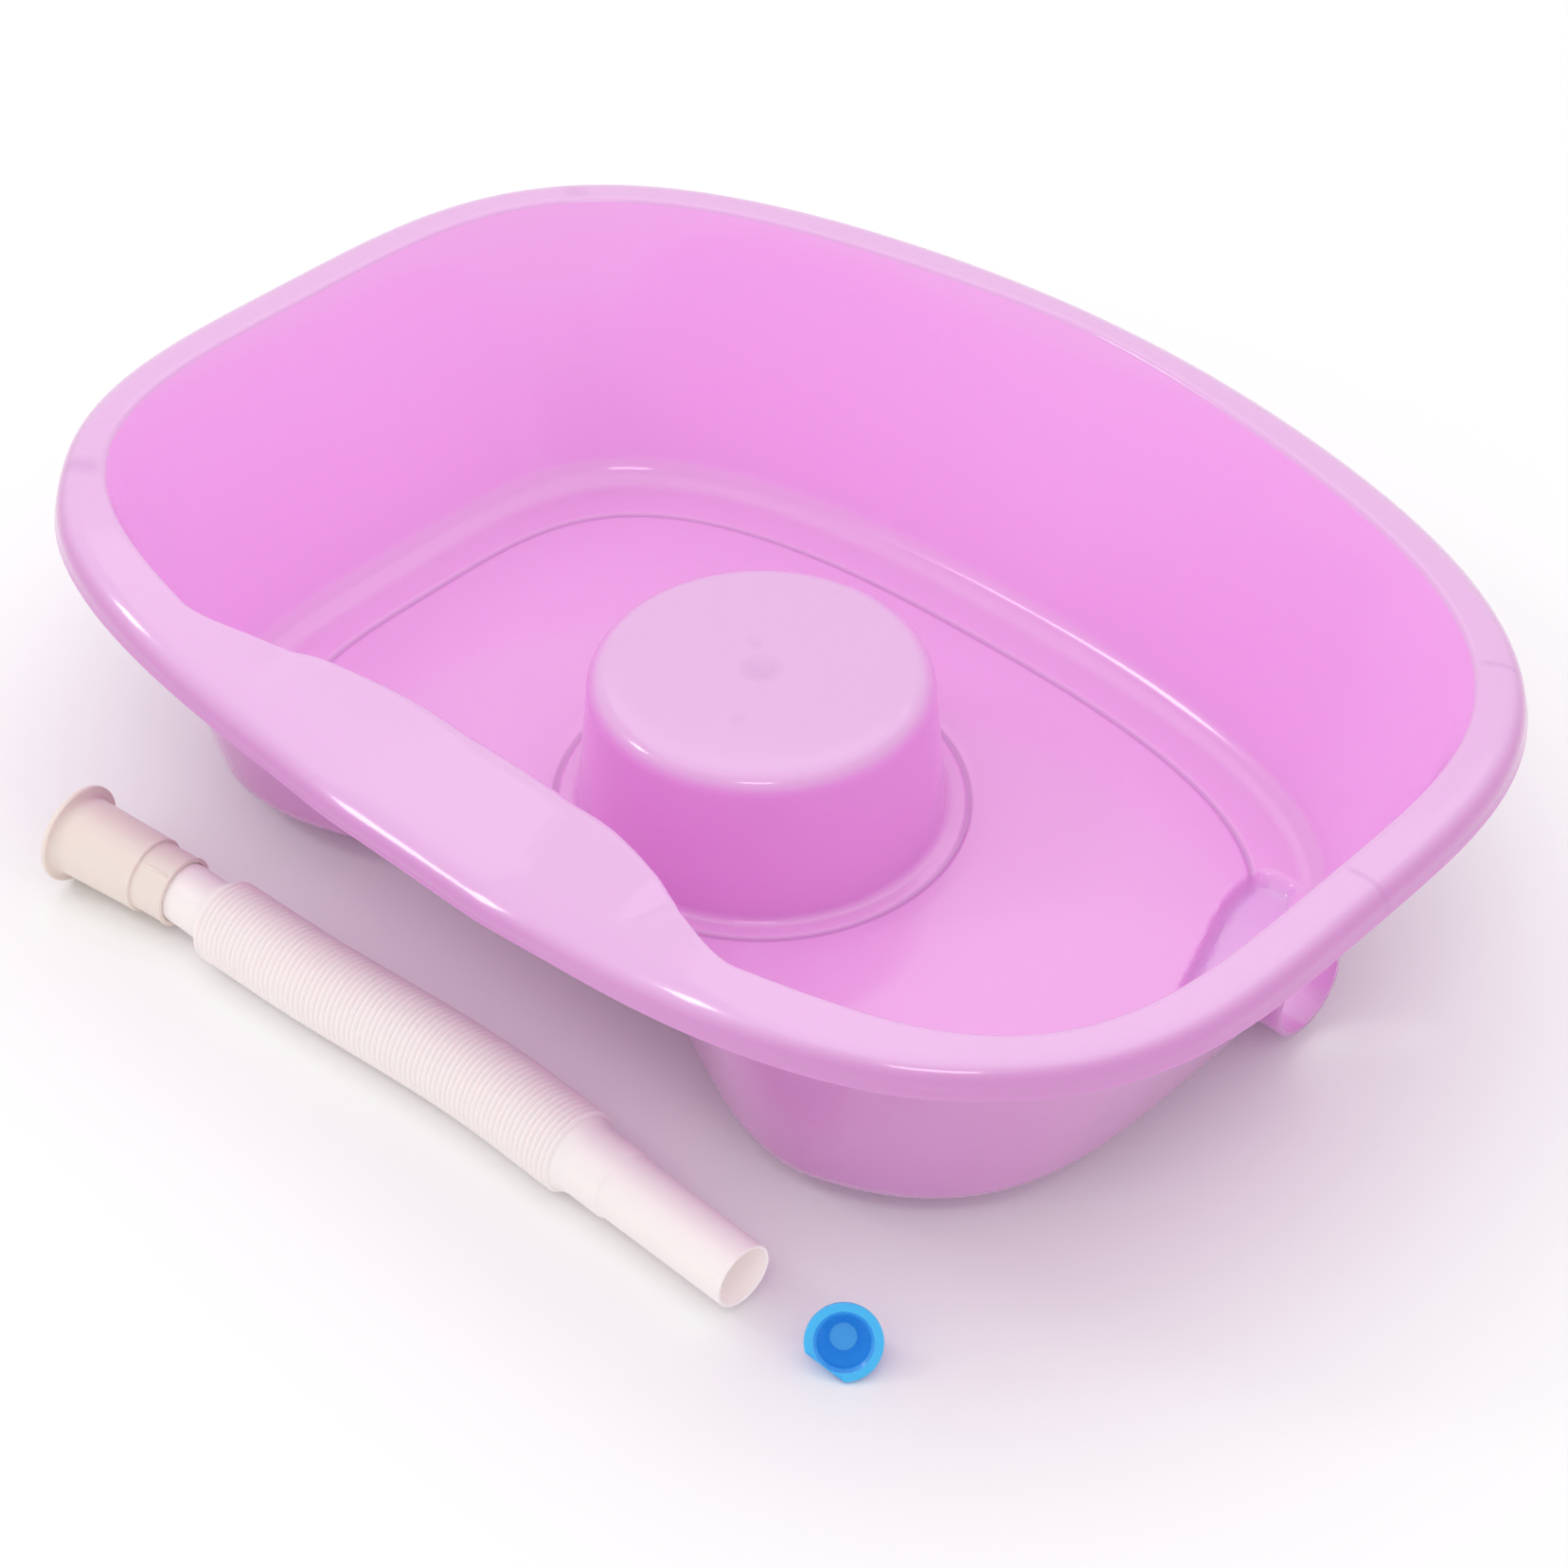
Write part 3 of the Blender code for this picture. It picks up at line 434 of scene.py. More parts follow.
def bowl_plastic(finish):
    """Glossy, slightly translucent polypropylene, with a painted highlight on the rim's top, painted
    light on the inner walls, and painted shade in the grooves and on the outside.
    """
    shading = Shading(
        "bowl_pink",
        subsurface_weight=0.2,
        subsurface_scale=0.008,
        subsurface_radius=(1.0, 0.35, 0.9),
        coat_weight=0.8,
        coat_roughness=0.08,
        coat_ior=1.55,
        emission_strength=1.0,
    )
    cloud = shading.noise(7.0, 3.0)
    groove = shading.attribute("groove")
    wall = shading.attribute("wall")
    color = finish.color[:]
    for share, over in (
        # painted light through the inner walls
        (wall, finish.wall_through_light_color),
        # painted highlight on the rim's and the head rest's tops
        (shading.attribute("top_highlight"), finish.top_highlight_and_tone_color),
        # painted shade on the outward faces
        (shading.attribute("outside"), finish.outside_shade_color),
        # random pale clouding, the plastic's own uneven tone
        (0.16 * cloud, finish.top_highlight_and_tone_color),
        (0.6 * shading.attribute("sump"), finish.sump_color),
        # painted shade in the grooves
        (0.55 * groove, finish.groove_shade_and_mark_color),
        # moulding marks on the head rest and over the rim's ribs
        (0.3 * shading.attribute("mark"), finish.groove_shade_and_mark_color),
    ):
        color = shading.mix(share, color, over[:])
    grain = shading.bump(shading.noise(900.0), 0.03, 0.0002)
    return shading.finish(
        base_color=color,
        roughness=0.20 + 0.08 * cloud + 0.10 * groove,
        # Painted light: the inner walls glow with the light through them
        emission_color=shading.mix(wall, (0, 0, 0), finish.through_color[:]),
        normal=shading.bump(shading.noise(16.0, 2.0, (1, 1, 0.25)), 0.10, 0.004, grain),
    )


def hose_plastic(finish):
    """Soft milky polypropylene."""
    shading = Shading(
        "hose_milky",
        subsurface_weight=0.3,
        subsurface_scale=0.002,
        subsurface_radius=(1.0, 0.75, 0.75),
        coat_weight=0.12,
        coat_roughness=0.25,
        emission_strength=1.0,
    )
    cloud = shading.noise(40.0, 3.0)
    inside = shading.attribute("inside")
    return shading.finish(
        base_color=shading.mix(0.5 * cloud, finish.color[:], tinted(finish.color, (1.02, 0.93, 0.94))),
        roughness=0.34 + 0.12 * cloud,
        emission_color=shading.mix(inside, finish.glow_color[:], finish.through_color[:]),
        normal=shading.bump(shading.noise(700.0), 0.05, 0.0002),
    )


def coupling_plastic(finish):
    """Ivory satin plastic with fine drawing marks along the sleeve."""
    shading = Shading("coupling_ivory", subsurface_weight=0.15, subsurface_scale=0.003, coat_weight=0.1)
    cloud = shading.noise(60.0, 3.0)
    marks = shading.noise(260.0, 2.0, (0.12, 1, 1))
    warm = tinted(finish.coupling_color, (0.97, 0.93, 0.86))
    return shading.finish(
        base_color=shading.mix(0.6 * cloud, finish.coupling_color[:], warm),
        roughness=0.30 + 0.12 * marks,
        normal=shading.bump(marks, 0.06, 0.0003),
    )


def stopper_plastic(finish):
    """Blue satin plastic, lighter on the flange's face and on the cup's inner floor."""
    shading = Shading(
        "stopper_blue",
        subsurface_weight=0.2,
        subsurface_scale=0.003,
        subsurface_radius=(0.2, 0.6, 1.0),
        coat_weight=0.3,
    )
    return shading.finish(
        base_color=shading.mix(shading.attribute("lightened_face"), finish.stopper_color[:], (0.045, 0.50, 0.94)),
        roughness=0.22 + 0.12 * shading.noise(90.0, 2.0),
        normal=shading.bump(shading.noise(500.0), 0.05, 0.0002),
    )


def plain_floor(color):
    shading = Shading("studio_floor")
    cloud = shading.noise(3.0)
    return shading.finish(
        base_color=shading.mix(cloud, color[:], tinted(color, (0.985, 0.985, 0.985))),
        roughness=0.55 + 0.05 * cloud,
    )


def smooth_step(share):
    share = min(1.0, max(0.0, share))
    return share * share * (3 - 2 * share)


def ease(away, limits):
    """1 up to the inner angle and 0 past the outer one, smooth between them."""
    inner, outer = limits
    return smooth_step((outer - away) / (outer - inner))


def reach(outline, angle):
    """Distance from the head rest's axis to an outline, in one direction."""
    across, along = math.cos(angle), math.sin(angle)
    depth = outline.back if along > 0 else outline.front
    power = outline.front_power
    if along > 0:
        power = outline.side_power + (outline.back_power - outline.side_power) * along
    if along < 0:
        power = outline.side_power + (outline.front_power - outline.side_power) * min(1, -2 * along)
    total = (abs(across) / outline.half_length) ** power + (abs(along) / depth) ** power
    return total ** (-1 / power)


RIM_OUTSIDE = Outline(HALF_LENGTH, REST_TO_BACK, REST_TO_FRONT, *RIM_POWERS)
RIM_INSIDE = Outline(
    HALF_LENGTH - RIM_WIDTH,
    REST_TO_BACK - RIM_BACK_WIDTH,
    REST_TO_FRONT - RIM_FRONT_WIDTH,
    *BOWL_POWERS,
)
FLOOR_EDGE = Outline(
    RIM_INSIDE.half_length - SIDE_LEAN,
    RIM_INSIDE.back - BACK_LEAN,
    RIM_INSIDE.front - FRONT_LEAN,
    *FLOOR_POWERS,
)
LEDGE_EDGE = Outline(*(side - LEDGE_WIDTH for side in FLOOR_EDGE[:3]), *FLOOR_POWERS)
REST_GROOVE_RADIUS = REST_FOOT_RADIUS + REST_GROOVE_MARGIN
SUMP_FAR_X = FLOOR_EDGE.half_length - SUMP_WALL_MARGIN
SUMP_NEAR_X = SUMP_FAR_X - SUMP_LENGTH
SUMP_FRONT_X = SUMP_FAR_X - SUMP_FRONT_LENGTH
SPIGOT_HEIGHT = FLOOR_HEIGHT - SUMP_DEPTH + SPIGOT_RADIUS - SPIGOT_WALL

# Steps of the profile's fillets and grooves, and how finely its straight stretches are divided
EDGE_STEPS = 10
FOOT_STEPS = 6
WALL_FILLET_STEPS = 12
RIM_INNER_STEPS = 6
RIM_TOP_STEPS = 10
RIM_OUTER_STEPS = 14
GROOVE_STEPS = 8
REST_STEPS = 10
FLOOR_STEPS = 48
FLOOR_CROWDING = 0.7
LEDGE_STEPS = 16
WALL_STEPS = 8
SUMP_CORNER_STEPS = 10
SUMP_WALL_STEPS = 8
EDGE_PASSES = 8
FILLET_STEPS = 5
SUMP_SECTOR_DEG = (-8, 36)
FOLD_SECTOR_DEG = (28, 44)


def from_front(angle):
    """Degrees between a direction and the middle of the neck rest."""
    return abs((math.degrees(angle) - FRONT_DEG + 180) % 360 - 180)


def floor_reach(angle):
    return reach(FLOOR_EDGE, angle) - NECK_WALL_SET_BACK * ease(from_front(angle), WALL_DEG)


def ledge_reach(angle):
    """Distance to the outer groove: parallel to the wall, and closer to it behind the neck rest."""
    neck = ease(from_front(angle), WALL_DEG)
    return reach(LEDGE_EDGE, angle) + (LEDGE_WIDTH - NECK_LEDGE_WIDTH - NECK_WALL_SET_BACK) * neck


def groove_places(radius):
    """Places across one profile for a groove, which is pressed in later."""
    sides = [2 * step / GROOVE_STEPS - 1 for step in range(GROOVE_STEPS + 1)]
    return [Corner(radius + side * GROOVE_WIDTH / 2, FLOOR_HEIGHT, 0, 0) for side in sides]


def lobe_share(away):
    """How far the neck rest reaches in: round up to the fold at its end, and hollow past it."""
    inner, outer = LOBE_DEG
    if away < LOBE_FOLD_DEG:
        return 1 - 0.5 * max(0.0, (away - inner) / (LOBE_FOLD_DEG - inner)) ** LOBE_POWERS[0]
    return 0.5 * max(0.0, (outer - away) / (outer - LOBE_FOLD_DEG)) ** LOBE_POWERS[1]


def rim_inside(angle):
    return reach(RIM_INSIDE, angle) - NECK_REACH * lobe_share(from_front(angle))


def bowl_corners(angle):
    """The bowl's upper surface in one direction from the head rest's axis, out to the skirt's edge."""
    away = from_front(angle)
    dip, lobe, wall = ease(away, DIP_DEG), lobe_share(away), ease(away, WALL_DEG)
    top = RIM_HEIGHT - NECK_DIP * dip
    outside = reach(RIM_OUTSIDE, angle) - NECK_SET_BACK * ease(away, SET_BACK_DEG)
    inner_fillet = RIM_INNER_FILLET + (NECK_INNER_FILLET - RIM_INNER_FILLET) * lobe
    outer_fillet = RIM_OUTER_FILLET + (NECK_OUTER_FILLET - RIM_OUTER_FILLET) * dip
    wall_fillet = WALL_FILLET + (NECK_LEDGE_WIDTH - WALL_FILLET) * wall
    rest_top = FLOOR_HEIGHT + REST_HEIGHT
    return [
        Corner(0, rest_top - GATE_DEPTH, 0, 0),
        Corner(GATE_RADIUS, rest_top, 0, 0),
        Corner(REST_TOP_RADIUS, rest_top, REST_EDGE_FILLET, EDGE_STEPS),
        Corner(REST_FOOT_RADIUS, FLOOR_HEIGHT, REST_FOOT_FILLET, FOOT_STEPS),
        *groove_places(REST_GROOVE_RADIUS),
        *groove_places(ledge_reach(angle)),
        Corner(floor_reach(angle), FLOOR_HEIGHT, wall_fillet, WALL_FILLET_STEPS),
        Corner(rim_inside(angle), top, inner_fillet, RIM_INNER_STEPS),
        Corner(outside, top, outer_fillet, RIM_OUTER_STEPS),
        Corner(outside + SKIRT_FLARE, top - SKIRT_DEPTH, 0, 0),
    ]


# Places in a rounded profile: where the floor's, the ledge's, the wall's and the rim's stretches start
FLOOR_FIRST = 2 + (EDGE_STEPS + 1) + (FOOT_STEPS + 1) + GROOVE_STEPS
LEDGE_FIRST = FLOOR_FIRST + GROOVE_STEPS + 1
WALL_FIRST = LEDGE_FIRST + WALL_FILLET_STEPS + 1
RIM_FIRST = WALL_FIRST + RIM_INNER_STEPS + 1


def fillet_points(before, corner, after, radius, steps):
    """A corner of an outline rounded by an arc, which stays within its two sides."""
    towards, onwards = (before - corner).normalized(), (after - corner).normalized()
    half_angle = towards.angle(onwards) / 2
    side = min((before - corner).length, (after - corner).length) * FILLET_SIDE_SHARE
    run = min(radius / math.tan(half_angle), side)
    fitted = run * math.tan(half_angle)
    middle = corner + (towards + onwards).normalized() * (fitted / math.sin(half_angle))
    start, end = corner + towards * run - middle, corner + onwards * run - middle
    turns = [start.slerp(end, step / steps).normalized() for step in range(steps + 1)]
    return [middle + turn * fitted for turn in turns]


def rounded(corners):
    """A profile of corners with each fillet drawn as an arc."""
    places = [Vector((corner.radius, corner.height)) for corner in corners]
    points = places[:1]
    for corner, before, here, after in zip(corners[1:], places, places[1:], places[2:]):
        if corner.fillet:
            points += fillet_points(before, here, after, corner.fillet, corner.steps)
        else:
            points.append(here)
    return points + places[-1:]


def divided(points, first, steps, crowding=1.0):
    """A line of points whose stretch after one of them is cut into steps, closer at its end if asked."""
    start, end = points[first], points[first + 1]
    between = [start.lerp(end, (step / steps) ** crowding) for step in range(1, steps)]
    return points[: first + 1] + between + points[first + 1 :]


def rolled(points, angle):
    """Draws the rim's outer edge as an elliptic roll, which is wide along the neck rest."""
    dip = ease(from_front(angle), DIP_DEG)
    width = ROLL_WIDTH + (NECK_ROLL_WIDTH - ROLL_WIDTH) * dip
    height = ROLL_HEIGHT + (NECK_ROLL_HEIGHT - ROLL_HEIGHT) * dip
    edge = points[-1]
    outside, top = edge.x - SKIRT_FLARE, edge.y + SKIRT_DEPTH
    roll = []
    for step in range(RIM_OUTER_STEPS + 1):
        turn = math.pi / 2 * step / RIM_OUTER_STEPS
        roll.append(Vector((outside - width * (1 - math.sin(turn)), top - height * (1 - math.cos(turn)))))
    return points[: -RIM_OUTER_STEPS - 2] + roll + [edge]


def creased(points, angle):
    """Lowers the rim's top along the line where the neck rest's end folds into the rim."""
    inside, outside = rim_inside(angle), points[-1].x
    away = from_front(angle)
    for point in points[WALL_FIRST + 1 :]:
        share = max(0.0, (point.x - inside) / (outside - inside))
        off = (away - CREASE_DEG + CREASE_BEND_DEG * share) / CREASE_WIDTH_DEG
        point.y -= CREASE_DEPTH * math.exp(-off * off) * smooth_step(1 - share / CREASE_REACH)
    return points


def fine_profile(angle):
    points = rolled(rounded(bowl_corners(angle)), angle)
    points = creased(divided(points, RIM_FIRST, RIM_TOP_STEPS), angle)
    points = divided(points, WALL_FIRST, WALL_STEPS)
    points = divided(points, LEDGE_FIRST, LEDGE_STEPS)
    points = divided(points, FLOOR_FIRST, FLOOR_STEPS, FLOOR_CROWDING)
    return divided(points, 1, REST_STEPS)


def around_rest(radius, angle, height):
    return Vector((radius * math.cos(angle), REST_Y + radius * math.sin(angle), height))


def wall_radius(angle, height):
    """Distance to the bowl's inner wall at a height, along one direction."""
    points = rounded(bowl_corners(angle))
    best = points[0].x
    for low, high in zip(points, points[1:]):
        if low.x > REST_GROOVE_RADIUS and low.y <= height < high.y:
            best = low.x + (high.x - low.x) * (height - low.y) / (high.y - low.y)
    return best


def end_x(y, radius_at):
    """Where an outline round the head rest crosses a depth, at the right-hand end."""
    x = FLOOR_EDGE.half_length
    for _ in range(EDGE_PASSES):
        angle = math.atan2(y - REST_Y, x)
        x = radius_at(angle) * math.cos(angle)
    return x


def wall_x(y, height):
    """Where the middle of the right-hand wall's thickness is, at a height and a depth."""
    return end_x(y, lambda angle: wall_radius(angle, height) + BOWL_WALL / 2)


def sump_outline():
    """The sump's edge in the floor, anticlockwise: along the wall, round the back, slanting in front."""
    along_wall = []
    for step in range(SUMP_WALL_STEPS + 1):
        y = SUMP_FRONT_Y + (SUMP_BACK_Y - SUMP_FRONT_Y) * step / SUMP_WALL_STEPS
        along_wall.append((Vector((end_x(y, floor_reach) - SUMP_WALL_MARGIN, y)), 0))
    corners = [
        (along_wall[0][0], SUMP_END_RADIUS),
        *along_wall[1:-1],
        (along_wall[-1][0], SUMP_END_RADIUS),
        (Vector((SUMP_NEAR_X, SUMP_BACK_Y)), SUMP_CORNER_RADIUS),
        (Vector((SUMP_NEAR_X, SUMP_BEND_Y)), SUMP_BEND_RADIUS),
        (Vector((SUMP_FRONT_X, SUMP_FRONT_Y)), SUMP_END_RADIUS),
    ]
    points = []
    for index, (corner, radius) in enumerate(corners):
        before, after = corners[index - 1][0], corners[(index + 1) % len(corners)][0]
        points += fillet_points(before, corner, after, radius, SUMP_CORNER_STEPS) if radius else [corner]
    return points


SUMP_EDGE = sump_outline()


def inside_sump(x, y):
    """Distance from a place on the floor to the sump's edge, counted inwards, and 0 outside it."""
    if not (SUMP_NEAR_X < x < SUMP_FAR_X and SUMP_FRONT_Y < y < SUMP_BACK_Y):
        return 0.0
    here = Vector((x, y))
    odd, nearest = False, SUMP_LENGTH
    for start, end in zip(SUMP_EDGE, SUMP_EDGE[1:] + SUMP_EDGE[:1]):
        if (start.y > y) != (end.y > y):
            odd ^= x < start.x + (end.x - start.x) * (y - start.y) / (end.y - start.y)
        way = end - start
        share = min(1.0, max(0.0, (here - start).dot(way) / way.length_squared))
        nearest = min(nearest, (start + way * share - here).length)
    return nearest if odd else 0.0


def sump_drop(x, y):
    return SUMP_DEPTH * smooth_step(inside_sump(x, y) / SUMP_DRAFT)


def station_angles(finish):
    """Directions once round the head rest, closer together beside the sump and at the neck's folds."""
    angles, angle = [], FRONT_DEG
    while angle < FRONT_DEG + 360:
        angles.append(math.radians(angle))
        beside = SUMP_SECTOR_DEG[0] <= angle < SUMP_SECTOR_DEG[1]
        folded = FOLD_SECTOR_DEG[0] <= from_front(angles[-1]) < FOLD_SECTOR_DEG[1]
        angle += finish.sump_step if beside or folded else finish.station_step
    return angles


def new_object(name, bm, material=None):
    if not any(edge.is_boundary for edge in bm.edges):
        bmesh.ops.recalc_face_normals(bm, faces=bm.faces)
    mesh = bpy.data.meshes.new(name)
    bm.to_mesh(mesh)
    bm.free()
    made = bpy.data.objects.new(name, mesh)
    bpy.context.scene.collection.objects.link(made)
    if material:
        mesh.materials.append(material)
    return made


def skin(bm, rings, endless=True):
    """Faces between neighbouring rings of points, some of which may be a single point."""
    sides = max(len(ring) for ring in rings)
    for near, far in zip(rings, rings[1:] + rings[:1] if endless else rings[1:]):
        for step in range(sides):
            after = (step + 1) % sides
            start = (near[step % len(near)], near[after % len(near)])
            end = (far[after % len(far)], far[step % len(far)])
            bm.faces.new(tuple(dict.fromkeys(start + end)))


def bowl_sheet(finish):
    """The bowl's upper surface as an open sheet: one profile for each station."""
    bm = bmesh.new()
    pole = bm.verts.new((0, REST_Y, FLOOR_HEIGHT + REST_HEIGHT - GATE_DEPTH))
    rows = []
    for angle in station_angles(finish):
        row = []
        for point in fine_profile(angle)[1:]:
            row.append(bm.verts.new(around_rest(point.x, angle, point.y)))
        rows.append(row)
    for near, far in zip(rows, rows[1:] + rows[:1]):
        bm.faces.new((pole, near[0], far[0]))
        for a, b, c, d in zip(near, near[1:], far[1:], far):
            bm.faces.new((a, b, c, d))
    return new_object("basin_body", bm)


def band_block(bm, radius_at, steps):
    """A foot rib: a band of even thickness round the head rest, up into the floor's thickness."""
    rings = []
    for step in range(steps):
        angle = 2 * math.pi * step / steps
        ring = []
        for side, high in ((-0.5, False), (0.5, False), (0.5, True), (-0.5, True)):
            place = around_rest(radius_at(angle) + side * FOOT_THICKNESS, angle, 0)
            if high:
                place.z = FLOOR_HEIGHT - GROOVE_DEPTH - BOWL_WALL / 2 - sump_drop(place.x, place.y)
            ring.append(bm.verts.new(place))
        rings.append(ring)
    skin(bm, rings)


def moved_right(before, here, after, margin):
    """A point of an outline, moved by a margin to the right of the way along it."""
    way = (after - before).normalized()
    return here + Vector((way.y, -way.x)) * margin


def down_to(point, way, height):
    """The place at a height on a straight line through a point."""
    return point + way * ((height - point.y) / way.y)


def rib_block(bm, angle):
    """A stiffening plate under the rim, whose edges run within the wall, the rim and the skirt."""
    corners = bowl_corners(angle)
    rim = rolled(rounded(corners), angle)[WALL_FIRST:]
    middle = [moved_right(*three, BOWL_WALL / 2) for three in zip(rim, rim[1:], rim[2:])]
    bottom = corners[-2].height - RIM_RIB_DEPTH
    wall_foot = down_to(middle[0], rim[1] - rim[0], bottom)
    skirt_foot = down_to(middle[-1], rim[-1] - rim[-2], bottom)
    across = Vector((-math.sin(angle), math.cos(angle), 0)) * RIM_RIB_THICKNESS / 2
    sides = []
    for way in (-1, 1):
        places = [around_rest(p.x, angle, p.y) + across * way for p in (wall_foot, *middle, skirt_foot)]
        sides.append([bm.verts.new(place) for place in places])
    skin(bm, sides, endless=False)
    bm.faces.new(sides[0])
    bm.faces.new(sides[1])


def rib_angles():
    """Directions of the rim's ribs: the listed ones, their mirrored ones and one at the back."""
    angles = [math.radians(degrees) for degrees in RIM_RIB_ANGLES_DEG]
    return angles + [math.pi - angle for angle in angles] + [math.pi / 2]


def bowl_ribs(finish):
    """The foot ribs and the rim ribs, none of which meets another."""
    bm = bmesh.new()
    steps = round(360 / finish.station_step)
    band_block(bm, ledge_reach, steps)
    band_block(bm, lambda angle: REST_GROOVE_RADIUS, steps)
    for angle in rib_angles():
        rib_block(bm, angle)
    return new_object("bowl_ribs", bm)


def spigot_end_x():
    """The spigot ends a little way out of the leaning wall, counted at its top."""
    return wall_x(SPIGOT_Y, SPIGOT_HEIGHT + SPIGOT_RADIUS) + SPIGOT_REACH


def spigot_root_x(y, z):
    """Where the spigot starts: in the sump's far side below the floor, and in the wall above it."""
    if z > FLOOR_HEIGHT - BOWL_WALL / 2:
        return wall_x(y, max(z, FLOOR_HEIGHT + GAP))
    share = min(1.0, (FLOOR_HEIGHT - BOWL_WALL / 2 - z) / SUMP_DEPTH)
    inwards = SUMP_DRAFT * (0.5 - math.sin(math.asin(1 - 2 * share) / 3))
    return end_x(y, floor_reach) - SUMP_WALL_MARGIN - inwards


def spigot_block():
    """The spigot's solid, with a rounded outer edge."""
    bm = bmesh.new()
    end = spigot_end_x()
    round_edge = SPIGOT_WALL / 4
    rows = [(None, 0), (end - round_edge, 0), (end - round_edge / 3, round_edge / 3), (end, round_edge)]
    rings = []
    for x, less in rows:
        ring = []
        for step in range(SPIGOT_SIDES):
            turn = 2 * math.pi * (step + 0.5) / SPIGOT_SIDES
            y = SPIGOT_Y + (SPIGOT_RADIUS - less) * math.cos(turn)
            z = SPIGOT_HEIGHT + (SPIGOT_RADIUS - less) * math.sin(turn)
            ring.append(bm.verts.new((spigot_root_x(y, z) if x is None else x, y, z)))
        rings.append(ring)
    skin(bm, rings, endless=False)
    bm.faces.new(rings[-1])
    middle = bm.verts.new((wall_x(SPIGOT_Y, SPIGOT_HEIGHT), SPIGOT_Y, SPIGOT_HEIGHT))
    skin(bm, [[middle], rings[0]], endless=False)
    return new_object("spigot_block", bm)


def bore_cutter():
    bm = bmesh.new()
    start, end = SUMP_FAR_X - SUMP_DRAFT * 2, spigot_end_x() + OVERRUN
    radii = dict.fromkeys(("radius1", "radius2"), SPIGOT_RADIUS - SPIGOT_WALL)
    bmesh.ops.create_cone(bm, cap_ends=True, segments=SPIGOT_SIDES, depth=end - start, **radii)
    cutter = new_object("bore_cutter", bm)
    cutter.rotation_euler.y = math.pi / 2
    cutter.location = ((start + end) / 2, SPIGOT_Y, SPIGOT_HEIGHT + BORE_LIFT)
    return cutter


def boolean(target, tool, operation):
    modifier = target.modifiers.new(tool.name, "BOOLEAN")
    modifier.operation = operation
    modifier.object = tool
    return tool


def apply_modifiers(obj, helpers=()):
    """Turns an object's modifiers into its mesh and removes the helpers that they used."""
    bpy.context.view_layer.update()
    graph = bpy.context.evaluated_depsgraph_get()
    mesh = bpy.data.meshes.new_from_object(obj.evaluated_get(graph))
    obj.modifiers.clear()
    obj.data = mesh
    for helper in helpers:
        bpy.data.objects.remove(helper, do_unlink=True)


def dress(obj, material, sharp_deg=None):
    """Gives an object its material and smooth shading, with edges past an angle kept sharp."""
    obj.data.materials.clear()
    obj.data.materials.append(material)
    obj.data.shade_smooth()
    if sharp_deg:
        obj.data.set_sharp_from_angle(angle=math.radians(sharp_deg))


def weld(mesh):
    """Joins points that the unions left almost on each other, so that the skin stays closed."""
    bm = bmesh.new()
    bm.from_mesh(mesh)
    bmesh.ops.remove_doubles(bm, verts=bm.verts, dist=WELD_DISTANCE)
    bm.to_mesh(mesh)
    bm.free()


def rest_mark(x, y):
    """How strongly the gate's spot and the ejectors' two spots shade a place on the head rest's top."""
    shade = GATE_SHADE * smooth_step(2 - math.hypot(x, y - REST_Y) / GATE_RADIUS)
    for across, along_y in EJECTOR_PLACES:
        away = math.hypot(x - across, y - REST_Y - along_y)
        shade = max(shade, EJECTOR_SHADE * smooth_step(2 - 1.5 * away / EJECTOR_RADIUS))
    return shade


def rib_mark(x, y, angle):
    """How strongly the rib under the rim shows through at a place."""
    shade = 0.0
    for rib in rib_angles():
        if math.cos(angle - rib) > 0:
            away = abs(x * math.sin(rib) - (y - REST_Y) * math.cos(rib))
            shade = max(shade, smooth_step(1.5 - away / RIB_MARK_WIDTH))
    return shade


def finish_shares(place, normal):
    """How much of each finish a place on the bowl takes, from 0 to 1, painted highlight, light and shade
    among them.
    """
    x, y, z = place
    radius, angle = math.hypot(x, y - REST_Y), math.atan2(y - REST_Y, x)
    rest_top = FLOOR_HEIGHT + REST_HEIGHT
    groove = top_highlight = mark = wall = outside = 0.0
    sump = sump_drop(x, y) / SUMP_DEPTH
    # The groove's share presses it in, and paints shade and roughness in it
    if abs(z - FLOOR_HEIGHT + sump * SUMP_DEPTH) < BOWL_WALL / 2:
        away = min(abs(radius - REST_GROOVE_RADIUS), abs(radius - ledge_reach(angle)))
        groove = smooth_step(1 - away / (GROOVE_WIDTH / 2)) * (1 - smooth_step(2 * sump))
    # Painted highlight on the head rest's top, where the moulding marks are too
    if z > rest_top - REST_EDGE_FILLET and radius < REST_TOP_RADIUS:
        top_highlight = smooth_step((z - rest_top + REST_EDGE_FILLET) / REST_EDGE_FILLET)
        mark = rest_mark(x, y)
    # Painted highlight on the rim's upward faces, fading a little down the wall
    if z > rest_top + GAP and normal.z > 0:
        over_rim = radius - rim_inside(angle)
        top_highlight = smooth_step(1 + over_rim / TOP_HIGHLIGHT_FADE) * smooth_step(3 * normal.z - 1)
        mark = rib_mark(x, y, angle) * smooth_step(over_rim / RIB_MARK_FADE)
    if radius > REST_GROOVE_RADIUS:
        outwards = normal.x * math.cos(angle) + normal.y * math.sin(angle)
        rise = smooth_step((z - FLOOR_HEIGHT) / WALL_GLOW_RISE)
        # Painted light through the walls on their inner faces
        wall = rise * smooth_step(-1.5 * outwards) * (1 - top_highlight)
        # Painted shade on the faces that look outwards
        outside = smooth_step(2 * outwards - 0.6)
    # Painted light on the sump's sloping side, which lifts its shade
    wall = max(wall, 4 * sump * (1 - sump))
    return {"groove": groove, "top_highlight": top_highlight, "sump": sump, "mark": mark, "wall": wall, "outside": outside}


